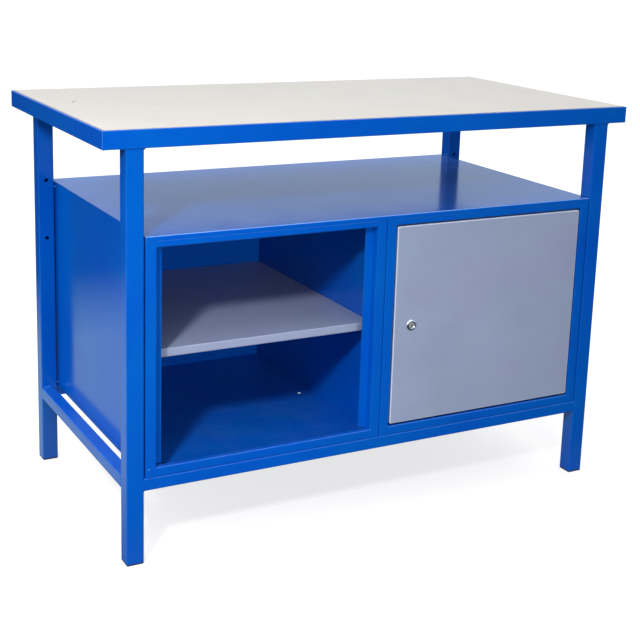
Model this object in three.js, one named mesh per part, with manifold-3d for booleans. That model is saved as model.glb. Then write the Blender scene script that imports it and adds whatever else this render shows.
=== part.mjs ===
// Steel workbench: a banded worktop on a welded tube frame, with two sheet-metal cabinets under a deck.
// The left cabinet is open and holds a shelf. The right one has an inset door on pivot pins, with a cam lock.
// Millimetres, +Z up, front towards -Y, origin on the floor under the middle of the worktop.

import * as THREE from 'three';
import { mergeVertices } from 'three/addons/utils/BufferGeometryUtils.js';
import Module from 'manifold-3d';

// Clearances
const SEAT_GAP = 0.3;
const HOLE_CLEARANCE = 0.3;

// Worktop: a faced board lying in a frame of rolled angle
const TOP_LENGTH = 1200;
const TOP_DEPTH = 600;
const BENCH_HEIGHT = 850;
const BAND_HEIGHT = 35;
const BAND_FLANGE = 35;
const BAND_THICKNESS = 4;
const BAND_HEEL_RADIUS = 1.5;
const BOARD_PROUD = 1;
const BOARD_EDGE_GAP = 0.6;
const FACING_THICKNESS = 1;
const CROSS_BAR_WIDTH = 40;
const CROSS_BAR_SPACING = 400;
const BOARD_SCREW_SPACING = 300;
const BOARD_SCREW_LENGTH = 24;
const BOARD_SCREW_SHANK = 4.5;
const BOARD_SCREW_HEAD = 10;
const BOARD_SCREW_HEAD_HEIGHT = 2.6;

// Welded frame: square tube legs and rectangular tube rails
const LEG_SIZE = 35;
const LEG_WALL = 2;
const LEG_CORNER = 3;
const LEG_END_SETBACK = 45;
const LEG_FACE_SETBACK = 3;
const RAIL_WIDTH = 28;
const RAIL_HEIGHT = 25;
const RAIL_WALL = 2;
const RAIL_CORNER = 2.5;
const RAIL_BOTTOM = 150;
const REAR_HOLE_DIAMETER = 8.4;
const REAR_HOLE_HEIGHT = 524;
const REAR_HOLE_PITCH = 130;

// Plastic foot plugs
const FOOT_FLANGE = 3;
const FOOT_CHAMFER = 0.8;
const FOOT_INSERT = 18;
const FOOT_INSERT_WALL = 2.5;

// Cabinets of folded sheet, side by side between the legs
const SHEET = 1.2;
const BEND_RADIUS = 1;
const CABINET_HEIGHT = 475;
const CABINET_LEG_GAP = 2.5;
const CABINET_REAR_SETBACK = 3;
const SEAM_GAP = 1;
const STILE_FACE = 22;
const REBATE_DEPTH = 20;
const STOP_LIP = 17;
const REAR_FLANGE = 12;
const SILL_FACE = 19;
const SILL_RETURN = 12;
const FLOOR_FLANGE = 12;
const FLOOR_HOLE_DIAMETER = 7;
const FLOOR_HOLE_INSET = 34;
const HEAD_FACE = 22.5;
const HEAD_FLANGE = 12;
const DECK_LIP = 10;

// Bolts that hold each cabinet on the rails: the front ones go down behind the sill, the rear ones come up
// from below the rail, so that the cabinet's floor stays clear
const BOLT_INSET = 60;
const BOLT_SHANK = 6;
const BOLT_LENGTH = 14;
const BOLT_FLATS = 10;
const BOLT_HEAD_HEIGHT = 4;
const BOLT_WASHER = 13;
const BOLT_WASHER_HEIGHT = 1.2;

// Shelves on angle runners
const SHELF_RISE = 239;
const SHELF_SETBACK = 48;
const SHELF_FOLD = 17.5;
const SHELF_FOLD_RETURN = 10;
const SHELF_SIDE_GAP = 0.8;
const RUNNER_LEDGE = 22;
const RUNNER_DROP = 25;
const RUNNER_END_GAP = 2;

// Door: a folded pan between the stiles
const DOOR_SHEET = 1;
const DOOR_THICKNESS = 15;
const DOOR_GAP = 3;
const DOOR_SILL_GAP = 4.7;
const DOOR_CORNER = 4;
const DOOR_EDGE_RADIUS = 2;
const DOOR_FLANGE = 14;

// Door pivots: a pin through the sill and one through the head, each in a flanged bush
const HINGE_EDGE_DISTANCE = 9;
const HINGE_FACE_DISTANCE = 6;
const PIN_DIAMETER = 5;
const PIN_HEAD_DIAMETER = 7;
const PIN_HEAD_HEIGHT = 2;
const BUSH_DIAMETER = 7.6;
const BUSH_FLANGE_DIAMETER = 10;
const BUSH_DEPTH = 10;

// Cam lock
const LOCK_INSET = 41.5;
const LOCK_BEZEL_DIAMETER = 23;
const LOCK_BEZEL_FACE_DIAMETER = 18;
const LOCK_BEZEL_HEIGHT = 2.7;
const LOCK_BARREL_DIAMETER = 18;
const LOCK_CORE_DIAMETER = 12.4;
const LOCK_CORE_RECESS = 0.5;
const LOCK_CORE_TAIL = 7;
const LOCK_SCREW_BORE_DEPTH = 10;
const KEYWAY_WIDTH = 2.2;
const KEYWAY_HEIGHT = 8;
const KEYWAY_DEPTH = 9;
const LOCK_NUT_FLATS = 22;
const LOCK_NUT_HEIGHT = 4;
const CAM_REACH = 38;
const CAM_WIDTH = 16;
const CAM_THICKNESS = 2;
const CAM_CLEARANCE = 1;
const CAM_SCREW_SHANK = 3.4;
const CAM_SCREW_HEAD = 8;
const CAM_SCREW_HEAD_HEIGHT = 2.4;
const CAM_SCREW_LENGTH = 8;

// Facets: steps on a small arc, on a corner's bevel and round a full turn
const ARC_STEPS = 3;
const CORNER_STEPS = 2;
const ROUND_STEPS = 20;

const wasm = await Module();
wasm.setup();

// Places worked out from the driving dimensions
const bandTop = BENCH_HEIGHT - BOARD_PROUD;
const bandBottom = bandTop - BAND_HEIGHT;
const legOuterX = TOP_LENGTH / 2 - LEG_END_SETBACK;
const legInnerX = legOuterX - LEG_SIZE;
const legMiddleX = legOuterX - LEG_SIZE / 2;
const legOuterY = TOP_DEPTH / 2 - LEG_FACE_SETBACK;
const legInnerY = legOuterY - LEG_SIZE;
const legMiddleY = legOuterY - LEG_SIZE / 2;
const legBottom = FOOT_FLANGE + SEAT_GAP;
const legTop = bandBottom - SEAT_GAP;
const railTop = RAIL_BOTTOM + RAIL_HEIGHT;
const railMiddleY = legOuterY - RAIL_WIDTH / 2;
const railMiddleX = legOuterX - RAIL_WIDTH / 2;

const cabinetWidth = legInnerX - CABINET_LEG_GAP - SEAM_GAP / 2;
const frontY = -legOuterY;
const rearY = legOuterY - CABINET_REAR_SETBACK;
const baseZ = railTop + SEAT_GAP;
const deckTop = railTop + CABINET_HEIGHT;
const carcassTop = deckTop - SHEET - SEAT_GAP;
const deckLipBottom = deckTop - DECK_LIP;
const backRear = rearY - SHEET - SEAT_GAP;
const backFront = backRear - SHEET;
const stopFront = frontY + REBATE_DEPTH;
const stopRear = stopFront + SHEET;
const sillTop = baseZ + SILL_FACE;
const headBottom = deckTop - HEAD_FACE;
const floorTop = baseZ + SHEET;

const shelfTop = railTop + SHELF_RISE;
const shelfFront = frontY + SHELF_SETBACK;
const shelfRear = backFront - SHELF_SIDE_GAP;
const runnerTop = shelfTop - SHEET - SEAT_GAP;

const doorLeft = STILE_FACE + DOOR_GAP;
const doorRight = cabinetWidth - STILE_FACE - DOOR_GAP;
const doorBottom = sillTop + DOOR_SILL_GAP;
const doorTop = headBottom - DOOR_GAP;
const hingeX = doorRight - HINGE_EDGE_DISTANCE;
const hingeY = frontY + HINGE_FACE_DISTANCE;
const lockX = doorLeft + LOCK_INSET;
const lockZ = (doorBottom + doorTop) / 2;
const camFront = REBATE_DEPTH + SHEET + CAM_CLEARANCE;
const barrelEnd = camFront - SEAT_GAP;

// Finishes
function finish(color, roughness, metalness) {
  return new THREE.MeshStandardMaterial({ color, roughness, metalness });
}
const bluePaint = finish(0x0856b8, 0.35, 0);
const greyPaint = finish(0x9aa2b8, 0.4, 0);
const laminate = finish(0xe2dfd8, 0.45, 0);
const plywood = finish(0xb08a5a, 0.7, 0);
const blackPlastic = finish(0x1c1d20, 0.6, 0);
const chrome = finish(0xd8dade, 0.12, 1);
const zinc = finish(0xb4b8bc, 0.35, 1);
const nylon = finish(0x26282c, 0.55, 0);

const bench = new THREE.Group();

// A closed mesh becomes a solid that can be cut and joined. Corners that meet are merged, and the slivers
// that a revolved profile leaves on its axis are dropped.
function solid(geometry) {
  geometry.deleteAttribute('normal');
  geometry.deleteAttribute('uv');
  const merged = mergeVertices(geometry);
  const corners = merged.index.array;
  const triangles = [];
  for (let i = 0; i < corners.length; i += 3) {
    const [a, b, c] = corners.slice(i, i + 3);
    if (a !== b && b !== c && c !== a) {
      triangles.push(a, b, c);
    }
  }
  const mesh = new wasm.Mesh({
    numProp: 3,
    vertProperties: Float32Array.from(merged.attributes.position.array),
    triVerts: Uint32Array.from(triangles),
  });
  return new wasm.Manifold(mesh);
}

function surface(body) {
  const mesh = body.getMesh();
  const geometry = new THREE.BufferGeometry();
  geometry.setAttribute('position', new THREE.BufferAttribute(mesh.vertProperties, 3));
  geometry.setIndex(new THREE.BufferAttribute(mesh.triVerts, 1));
  geometry.computeVertexNormals();
  return geometry;
}

// One named sub-part, placed in its parent group.
function addPart(parent, name, body, material, place = [0, 0, 0], turn = 0) {
  const mesh = new THREE.Mesh(surface(body), material);
  mesh.name = name;
  mesh.position.set(...place);
  mesh.rotation.z = turn;
  parent.add(mesh);
}

const outline = (points) => new THREE.Shape(points.map(([x, y]) => new THREE.Vector2(x, y)));

function roundedRectangle(width, height, radius) {
  const shape = new THREE.Shape();
  const x = width / 2 - radius;
  const y = height / 2 - radius;
  const quarter = Math.PI / 2;
  shape.absarc(x, y, radius, 0, quarter);
  shape.absarc(-x, y, radius, quarter, 2 * quarter);
  shape.absarc(-x, -y, radius, 2 * quarter, 3 * quarter);
  shape.absarc(x, -y, radius, 3 * quarter, 4 * quarter);
  return shape;
}

const extruded = (shape, depth) => new THREE.ExtrudeGeometry(shape, {
  depth,
  bevelEnabled: false,
  curveSegments: CORNER_STEPS,
});

const axisX = new THREE.Vector3(1, 0, 0);
const axisY = new THREE.Vector3(0, 1, 0);
const axisZ = new THREE.Vector3(0, 0, 1);
const sectionToX = new THREE.Matrix4().makeBasis(axisY, axisZ, axisX);
const sectionToY = new THREE.Matrix4().makeBasis(axisX, axisZ, axisY.clone().negate());

// Bars of constant section: a plan outline raised along Z, a (y, z) section run along X from one end to the
// other, and an (x, z) section run along Y.
function raised(shape, from, to) {
  return solid(extruded(shape, to - from).translate(0, 0, from));
}
function runX(shape, from, to) {
  return solid(extruded(shape, to - from).applyMatrix4(sectionToX).translate(from, 0, 0));
}
function runY(shape, from, to) {
  return solid(extruded(shape, to - from).applyMatrix4(sectionToY).translate(0, to, 0));
}

function block(low, high) {
  const size = high.map((value, i) => value - low[i]);
  const middle = high.map((value, i) => (value + low[i]) / 2);
  return solid(new THREE.BoxGeometry(...size).translate(...middle));
}

// Round bars for shanks and holes, along each axis, from one end to the other.
function roundBar(diameter, from, to, sides = ROUND_STEPS) {
  const bar = new THREE.CylinderGeometry(diameter / 2, diameter / 2, to - from, sides);
  return bar.translate(0, (from + to) / 2, 0);
}
const uprightBar = (diameter, x, y, from, to) =>
  solid(roundBar(diameter, from, to).rotateX(Math.PI / 2).translate(x, y, 0));
const crossBarRound = (diameter, x, z, from, to) => solid(roundBar(diameter, from, to).translate(x, 0, z));

// A profile of (radius, height) points turned about its own axis.
const turned = (points, steps = ROUND_STEPS) =>
  new THREE.LatheGeometry(points.map(([r, h]) => new THREE.Vector2(r, h)), steps);
const turnedUpright = (points) => solid(turned(points).rotateX(Math.PI / 2));

// The outline of a folded sheet. The line is one face of the sheet, and the thickness lies to its left.
// Each bend is an arc on both faces about one centre.
function foldedSheet(line, thickness) {
  const points = line.map(([x, y]) => new THREE.Vector2(x, y));
  const near = [points[0]];
  const far = [];
  const leftOf = (from, to) => {
    const along = to.clone().sub(from).normalize();
    return new THREE.Vector2(-along.y, along.x);
  };
  far.push(points[0].clone().addScaledVector(leftOf(points[0], points[1]), thickness));
  for (let i = 1; i < points.length - 1; i += 1) {
    const before = leftOf(points[i - 1], points[i]);
    const after = leftOf(points[i], points[i + 1]);
    const side = Math.sign(before.cross(after));
    const nearRadius = side > 0 ? BEND_RADIUS + thickness : BEND_RADIUS;
    const farRadius = side > 0 ? BEND_RADIUS : BEND_RADIUS + thickness;
    const reach = side * nearRadius / (1 + before.dot(after));
    const centre = points[i].clone().addScaledVector(before.clone().add(after), reach);
    const start = before.angle();
    const sweep = side * Math.acos(THREE.MathUtils.clamp(before.dot(after), -1, 1));
    for (let step = 0; step <= ARC_STEPS; step += 1) {
      const angle = start + sweep * step / ARC_STEPS;
      const spoke = new THREE.Vector2(Math.cos(angle), Math.sin(angle)).multiplyScalar(-side);
      near.push(centre.clone().addScaledVector(spoke, nearRadius));
      far.push(centre.clone().addScaledVector(spoke, farRadius));
    }
  }
  const last = points[points.length - 1];
  near.push(last);
  far.push(last.clone().addScaledVector(leftOf(points[points.length - 2], last), thickness));
  return new THREE.Shape([...near, ...far.reverse()]);
}

// Places on the left and right, and at the front and rear
const sides = [['left', -1], ['right', 1]];
const ends = [['front', -1], ['rear', 1]];

// Legs, with the rear pair drilled through for bolting an upright or a back panel on, and their foot plugs
function tubeShape(width, height, wall, corner) {
  const shape = roundedRectangle(width, height, corner);
  const innerCorner = Math.max(corner - wall, wall / 2);
  shape.holes.push(roundedRectangle(width - 2 * wall, height - 2 * wall, innerCorner));
  return shape;
}

function leg(drilled) {
  let body = raised(tubeShape(LEG_SIZE, LEG_SIZE, LEG_WALL, LEG_CORNER), legBottom, legTop);
  if (drilled) {
    for (const height of [REAR_HOLE_HEIGHT, REAR_HOLE_HEIGHT + REAR_HOLE_PITCH]) {
      body = body.subtract(crossBarRound(REAR_HOLE_DIAMETER, 0, height, -LEG_SIZE, LEG_SIZE));
    }
  }
  return body;
}

function footPlug() {
  const plate = new THREE.ExtrudeGeometry(roundedRectangle(LEG_SIZE, LEG_SIZE, LEG_CORNER), {
    depth: FOOT_FLANGE - 2 * FOOT_CHAMFER,
    bevelThickness: FOOT_CHAMFER,
    bevelSize: FOOT_CHAMFER,
    bevelOffset: -FOOT_CHAMFER,
    bevelSegments: 1,
    curveSegments: CORNER_STEPS,
  });
  const insertSize = LEG_SIZE - 2 * LEG_WALL - 2 * SEAT_GAP;
  const insertCorner = FOOT_INSERT_WALL;
  const insert = raised(
    tubeShape(insertSize, insertSize, FOOT_INSERT_WALL, insertCorner),
    FOOT_FLANGE / 2,
    FOOT_FLANGE + FOOT_INSERT,
  );
  return solid(plate.translate(0, 0, FOOT_CHAMFER)).add(insert);
}

for (const [endName, end] of ends) {
  for (const [sideName, side] of sides) {
    const place = [side * legMiddleX, end * legMiddleY, 0];
    addPart(bench, `leg_${endName}_${sideName}`, leg(end > 0), bluePaint, place);
    addPart(bench, `foot_${endName}_${sideName}`, footPlug(), blackPlastic, place);
  }
}

// Lower rails, flush with the outer faces of the legs. The front one is drilled for the bolts through its
// upper wall, the rear one through both walls.
const boltPlacesX = [BOLT_INSET, cabinetWidth - BOLT_INSET];
const doorwayX = SEAM_GAP / 2;
const cabinetStarts = [['left_cabinet', -cabinetWidth - SEAM_GAP / 2], ['right_cabinet', doorwayX]];
const boltHole = BOLT_SHANK + 2 * HOLE_CLEARANCE;
const railShape = () => tubeShape(RAIL_WIDTH, RAIL_HEIGHT, RAIL_WALL, RAIL_CORNER);
const railMiddleZ = RAIL_BOTTOM + RAIL_HEIGHT / 2;

for (const [endName, end] of ends) {
  let rail = runX(railShape(), -legInnerX + SEAT_GAP, legInnerX - SEAT_GAP);
  for (const [, start] of cabinetStarts) {
    for (const x of boltPlacesX) {
      rail = rail.subtract(uprightBar(boltHole, start + x, 0, end > 0 ? -RAIL_HEIGHT : 0, RAIL_HEIGHT));
    }
  }
  addPart(bench, `rail_${endName}`, rail, bluePaint, [0, end * railMiddleY, railMiddleZ]);
}
for (const [sideName, side] of sides) {
  const rail = runY(railShape(), -legInnerY + SEAT_GAP, legInnerY - SEAT_GAP);
  addPart(bench, `rail_${sideName}`, rail, bluePaint, [side * railMiddleX, 0, railMiddleZ]);
}

// The worktop's band: four rolled angles with mitred ends, the flange turned in under the board
function band(length) {
  const heel = BAND_HEEL_RADIUS;
  const section = new THREE.Shape();
  section.moveTo(BAND_FLANGE, 0);
  section.lineTo(BAND_FLANGE, BAND_THICKNESS);
  section.lineTo(BAND_THICKNESS, BAND_THICKNESS);
  section.lineTo(BAND_THICKNESS, BAND_HEIGHT);
  section.lineTo(heel, BAND_HEIGHT);
  section.absarc(heel, BAND_HEIGHT - heel, heel, Math.PI / 2, Math.PI);
  section.absarc(heel, heel, heel, Math.PI, 1.5 * Math.PI);
  const half = length / 2 - SEAT_GAP;
  const innerHalf = half - BAND_FLANGE;
  const plan = outline([[-half, 0], [half, 0], [innerHalf, BAND_FLANGE], [-innerHalf, BAND_FLANGE]]);
  return runX(section, -length / 2, length / 2).intersect(raised(plan, 0, BAND_HEIGHT));
}

addPart(bench, 'band_front', band(TOP_LENGTH), bluePaint, [0, -TOP_DEPTH / 2, bandBottom]);
addPart(bench, 'band_rear', band(TOP_LENGTH), bluePaint, [0, TOP_DEPTH / 2, bandBottom], Math.PI);
addPart(bench, 'band_left', band(TOP_DEPTH), bluePaint, [-TOP_LENGTH / 2, 0, bandBottom], -Math.PI / 2);
addPart(bench, 'band_right', band(TOP_DEPTH), bluePaint, [TOP_LENGTH / 2, 0, bandBottom], Math.PI / 2);

// The board and its facing lie in the band, screwed down through two cross bars
const boardHalfX = TOP_LENGTH / 2 - BAND_THICKNESS - BOARD_EDGE_GAP;
const boardHalfY = TOP_DEPTH / 2 - BAND_THICKNESS - BOARD_EDGE_GAP;
const boardBottom = bandBottom + BAND_THICKNESS + SEAT_GAP;
const facingBottom = BENCH_HEIGHT - FACING_THICKNESS;
const boardTop = facingBottom - SEAT_GAP;
const barTop = bandBottom + BAND_THICKNESS;
const barEnd = TOP_DEPTH / 2 - BAND_FLANGE - SEAT_GAP;
const screwHole = BOARD_SCREW_SHANK + 2 * HOLE_CLEARANCE;
const screwTop = bandBottom - SEAT_GAP + BOARD_SCREW_LENGTH;
const screwPlacesY = [-BOARD_SCREW_SPACING / 2, BOARD_SCREW_SPACING / 2];

let board = block([-boardHalfX, -boardHalfY, boardBottom], [boardHalfX, boardHalfY, boardTop]);
for (const [sideName, side] of sides) {
  const barX = side * CROSS_BAR_SPACING / 2;
  let bar = block(
    [barX - CROSS_BAR_WIDTH / 2, -barEnd, bandBottom],
    [barX + CROSS_BAR_WIDTH / 2, barEnd, barTop],
  );
  for (const y of screwPlacesY) {
    const hole = uprightBar(screwHole, barX, y, bandBottom - SEAT_GAP, screwTop + SEAT_GAP);
    bar = bar.subtract(hole);
    board = board.subtract(hole);
  }
  addPart(bench, `cross_bar_${sideName}`, bar, bluePaint);
}
addPart(bench, 'worktop_board', board, plywood);
const facing = block([-boardHalfX, -boardHalfY, facingBottom], [boardHalfX, boardHalfY, BENCH_HEIGHT]);
addPart(bench, 'worktop_facing', facing, laminate);

function boardScrew() {
  const head = BOARD_SCREW_HEAD / 2;
  const shank = BOARD_SCREW_SHANK / 2;
  return turnedUpright([
    [0, -BOARD_SCREW_HEAD_HEIGHT],
    [head / 2, -BOARD_SCREW_HEAD_HEIGHT],
    [head, -BOARD_SCREW_HEAD_HEIGHT / 3],
    [head, 0],
    [shank, 0],
    [shank, BOARD_SCREW_LENGTH - BOARD_SCREW_SHANK],
    [0, BOARD_SCREW_LENGTH],
  ]);
}
for (const [sideName, side] of sides) {
  for (const [endName, end] of ends) {
    const place = [side * CROSS_BAR_SPACING / 2, end * BOARD_SCREW_SPACING / 2, bandBottom - SEAT_GAP];
    addPart(bench, `board_screw_${endName}_${sideName}`, boardScrew(), zinc, place);
  }
}

const pinHole = (from, to) => uprightBar(PIN_DIAMETER + 2 * HOLE_CLEARANCE, hingeX, hingeY, from, to);

// Cabinet sides: one sheet folded into wall, stile face, door rebate and stop lip, with a flange at the
// rear. The stile face is cut down for the deck's lip, and the stop lip ends at the sill and at the head.
function cabinetSide(mirrored) {
  const across = (x) => (mirrored ? cabinetWidth - x : x);
  const line = [
    [across(REAR_FLANGE), rearY],
    [across(0), rearY],
    [across(0), frontY],
    [across(STILE_FACE), frontY],
    [across(STILE_FACE), stopFront],
    [across(STILE_FACE + STOP_LIP), stopFront],
  ];
  const section = foldedSheet(mirrored ? line.reverse() : line, SHEET);
  const cutAcross = (from, to, lowY, highY, lowZ, highZ) => {
    const [lowX, highX] = [across(from), across(to)].sort((a, b) => a - b);
    return block([lowX, lowY, lowZ], [highX, highY, highZ]);
  };
  const past = SHEET + SEAT_GAP;
  const lipEnd = STILE_FACE + STOP_LIP + past;
  const forDeck = cutAcross(-past, lipEnd, frontY - past, frontY + past, deckLipBottom - SEAT_GAP, deckTop);
  const forSill = cutAcross(STILE_FACE, lipEnd, frontY, stopRear + past, baseZ - past, sillTop);
  const forHead = cutAcross(STILE_FACE, lipEnd, frontY, stopRear + past, headBottom - SEAT_GAP, deckTop);
  return raised(section, baseZ, carcassTop).subtract(forDeck).subtract(forSill).subtract(forHead);
}

// Cabinet floor: folded up into the sill in front and into flanges along the walls, drilled for the bolts
// and, where a door hangs, for its lower pin
function cabinetFloor(hinged) {
  const sheetRear = backFront - SEAT_GAP;
  const line = [
    [frontY + SILL_RETURN, sillTop],
    [frontY, sillTop],
    [frontY, baseZ],
    [sheetRear, baseZ],
    [sheetRear, baseZ + FLOOR_FLANGE],
  ];
  const sillStart = STILE_FACE + SEAT_GAP;
  let floor = runX(foldedSheet(line, SHEET), sillStart, cabinetWidth - sillStart);
  const wingFront = stopRear + SEAT_GAP;
  const wingRear = sheetRear - SHEET - BEND_RADIUS;
  const wallFace = SHEET + SEAT_GAP;
  for (const across of [(x) => x, (x) => cabinetWidth - x]) {
    const wing = outline([
      [across(sillStart + SHEET), baseZ],
      [across(sillStart + SHEET), floorTop],
      [across(wallFace + SHEET), floorTop],
      [across(wallFace + SHEET), baseZ + FLOOR_FLANGE],
      [across(wallFace), baseZ + FLOOR_FLANGE],
      [across(wallFace), baseZ],
    ]);
    floor = floor.add(runY(wing, wingFront, wingRear));
    const drill = (diameter, x, y) => uprightBar(diameter, across(x), y, baseZ - SHEET, floorTop + SHEET);
    floor = floor.subtract(drill(FLOOR_HOLE_DIAMETER, FLOOR_HOLE_INSET, 0));
    for (const y of [-railMiddleY, railMiddleY]) {
      floor = floor.subtract(drill(boltHole, BOLT_INSET, y));
    }
  }
  return hinged ? floor.subtract(pinHole(sillTop - 2 * SHEET, sillTop + SHEET)) : floor;
}

// Cabinet head: a channel behind the top of the opening, its flange under the deck, drilled for the upper
// pin where a door hangs
function cabinetHead(hinged) {
  const webRear = stopFront - SEAT_GAP;
  const line = [
    [frontY, deckLipBottom - SEAT_GAP],
    [frontY, headBottom],
    [webRear, headBottom],
    [webRear, carcassTop - SHEET],
    [webRear + HEAD_FLANGE, carcassTop - SHEET],
  ];
  const start = STILE_FACE + SEAT_GAP;
  const head = runX(foldedSheet(line, SHEET), start, cabinetWidth - start);
  return hinged ? head.subtract(pinHole(headBottom - SHEET, headBottom + 2 * SHEET)) : head;
}

// Cabinet back: a plain sheet in front of the rear flanges, clear of the bends in their corners
function cabinetBack() {
  const edge = SHEET + BEND_RADIUS + SEAT_GAP;
  return block([edge, backFront, baseZ], [cabinetWidth - edge, backRear, carcassTop]);
}

// Shelf: a sheet from wall to wall, folded down and back at the front and at the rear
function shelf() {
  const foldBottom = shelfTop - SHELF_FOLD;
  const line = [
    [shelfRear - SHELF_FOLD_RETURN, foldBottom],
    [shelfRear, foldBottom],
    [shelfRear, shelfTop],
    [shelfFront, shelfTop],
    [shelfFront, foldBottom],
    [shelfFront + SHELF_FOLD_RETURN, foldBottom],
  ];
  const wallFace = SHEET + SHELF_SIDE_GAP;
  return runX(foldedSheet(line, SHEET), wallFace, cabinetWidth - wallFace);
}

// Shelf runners: angles on the walls, between the shelf's folds
function shelfRunner(mirrored) {
  const across = (x) => (mirrored ? cabinetWidth - x : x);
  const wallFace = SHEET + SEAT_GAP;
  const line = [
    [across(wallFace + RUNNER_LEDGE), runnerTop],
    [across(wallFace), runnerTop],
    [across(wallFace), runnerTop - RUNNER_DROP],
  ];
  const section = foldedSheet(mirrored ? line.reverse() : line, SHEET);
  const inset = SHELF_FOLD_RETURN + RUNNER_END_GAP;
  return runY(section, shelfFront + inset, shelfRear - inset);
}

function hexagon(flats) {
  const corner = flats / Math.sqrt(3);
  const places = [0, 1, 2, 3, 4, 5].map((i) => i * Math.PI / 3);
  return outline(places.map((angle) => [corner * Math.cos(angle), corner * Math.sin(angle)]));
}

// Flanged hexagon bolt, its seat at height zero and its shank pointing down
function cabinetBolt(length) {
  const shank = uprightBar(BOLT_SHANK, 0, 0, -length, BOLT_WASHER_HEIGHT / 2);
  const washer = uprightBar(BOLT_WASHER, 0, 0, 0, BOLT_WASHER_HEIGHT);
  const head = raised(hexagon(BOLT_FLATS), BOLT_WASHER_HEIGHT / 2, BOLT_WASHER_HEIGHT + BOLT_HEAD_HEIGHT);
  return washer.add(shank).add(head);
}

const frontBoltSeat = floorTop + SEAT_GAP;
const rearBoltSeat = RAIL_BOTTOM - SEAT_GAP;
const rearBoltLength = floorTop - SEAT_GAP - rearBoltSeat;
const boltsByEnd = {
  front: [cabinetBolt(BOLT_LENGTH), frontBoltSeat],
  rear: [cabinetBolt(rearBoltLength).rotate([180, 0, 0]), rearBoltSeat],
};

for (const [name, start] of cabinetStarts) {
  const cabinet = new THREE.Group();
  cabinet.position.x = start;
  bench.add(cabinet);
  addPart(cabinet, `${name}_left_side`, cabinetSide(false), bluePaint);
  addPart(cabinet, `${name}_right_side`, cabinetSide(true), bluePaint);
  addPart(cabinet, `${name}_floor`, cabinetFloor(start === doorwayX), bluePaint);
  addPart(cabinet, `${name}_head`, cabinetHead(start === doorwayX), bluePaint);
  addPart(cabinet, `${name}_back`, cabinetBack(), bluePaint);
  addPart(cabinet, `${name}_left_runner`, shelfRunner(false), bluePaint);
  addPart(cabinet, `${name}_right_runner`, shelfRunner(true), bluePaint);
  addPart(cabinet, `${name}_shelf`, shelf(), greyPaint);
  for (const [endName, end] of ends) {
    const [bolt, seat] = boltsByEnd[endName];
    for (const [i, [sideName]] of sides.entries()) {
      const place = [boltPlacesX[i], end * railMiddleY, seat];
      addPart(cabinet, `${name}_bolt_${endName}_${sideName}`, bolt, bluePaint, place);
    }
  }
}

// The deck: one sheet over both cabinets, its front edge folded down over the joint between them
const deckLine = [[rearY, deckTop], [frontY, deckTop], [frontY, deckLipBottom]];
const deckHalf = cabinetWidth + SEAM_GAP / 2;
addPart(bench, 'deck', runX(foldedSheet(deckLine, SHEET), -deckHalf, deckHalf), bluePaint);

// The door and its lock stand in the right cabinet's own frame
const doorway = new THREE.Group();
doorway.position.x = doorwayX;
bench.add(doorway);

// Door pan: a face with rounded edges, four returns, and flanges turned in at the rear
function doorPan() {
  const width = doorRight - doorLeft;
  const height = doorTop - doorBottom;
  const middleX = (doorLeft + doorRight) / 2;
  const middleZ = (doorBottom + doorTop) / 2;
  const rounded = new THREE.ExtrudeGeometry(roundedRectangle(width, height, DOOR_CORNER), {
    depth: DOOR_THICKNESS,
    bevelThickness: DOOR_EDGE_RADIUS,
    bevelSize: DOOR_EDGE_RADIUS,
    bevelOffset: -DOOR_EDGE_RADIUS,
    bevelSegments: CORNER_STEPS,
    curveSegments: CORNER_STEPS,
  });
  rounded.applyMatrix4(sectionToY).translate(middleX, frontY + DOOR_THICKNESS + DOOR_EDGE_RADIUS, middleZ);
  const rear = frontY + DOOR_THICKNESS;
  const shell = block([doorLeft, frontY, doorBottom], [doorRight, rear, doorTop]).intersect(solid(rounded));
  const hollow = (inset, corner, from, to) => {
    const shape = roundedRectangle(width - 2 * inset, height - 2 * inset, corner);
    return runY(shape, from, to).translate([middleX, 0, middleZ]);
  };
  const inside = hollow(DOOR_SHEET, DOOR_CORNER - DOOR_SHEET, frontY + DOOR_SHEET, rear - DOOR_SHEET);
  const mouth = hollow(DOOR_FLANGE, DOOR_CORNER, frontY + DOOR_SHEET, rear + DOOR_SHEET);
  const bushHole = BUSH_DIAMETER + 2 * HOLE_CLEARANCE;
  const bushes = uprightBar(bushHole, hingeX, hingeY, doorBottom - DOOR_SHEET, doorTop + DOOR_SHEET);
  const lockHole = LOCK_BARREL_DIAMETER + 2 * HOLE_CLEARANCE;
  const lock = crossBarRound(lockHole, lockX, lockZ, frontY - DOOR_SHEET, frontY + 2 * DOOR_SHEET);
  return shell.subtract(inside).subtract(mouth).subtract(bushes).subtract(lock);
}
addPart(doorway, 'door_panel', doorPan(), greyPaint);

// Pivots: a headed pin runs through the cabinet's folded edge into a flanged bush in the door's return
function hingeBush(gap) {
  const bore = PIN_DIAMETER / 2 + HOLE_CLEARANCE;
  const flange = gap - 2 * SEAT_GAP;
  return turned([
    [bore, 0],
    [BUSH_FLANGE_DIAMETER / 2, 0],
    [BUSH_FLANGE_DIAMETER / 2, flange],
    [BUSH_DIAMETER / 2, flange],
    [BUSH_DIAMETER / 2, flange + BUSH_DEPTH],
    [bore, flange + BUSH_DEPTH],
    [bore, 0],
  ]);
}

function hingePin(gap) {
  const reach = SHEET + gap + BUSH_DEPTH - SEAT_GAP;
  return turned([
    [0, -PIN_HEAD_HEIGHT],
    [PIN_HEAD_DIAMETER / 2, -PIN_HEAD_HEIGHT],
    [PIN_HEAD_DIAMETER / 2, 0],
    [PIN_DIAMETER / 2, 0],
    [PIN_DIAMETER / 2, reach - PIN_DIAMETER / 4],
    [PIN_DIAMETER / 4, reach],
    [0, reach],
  ]);
}

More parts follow.
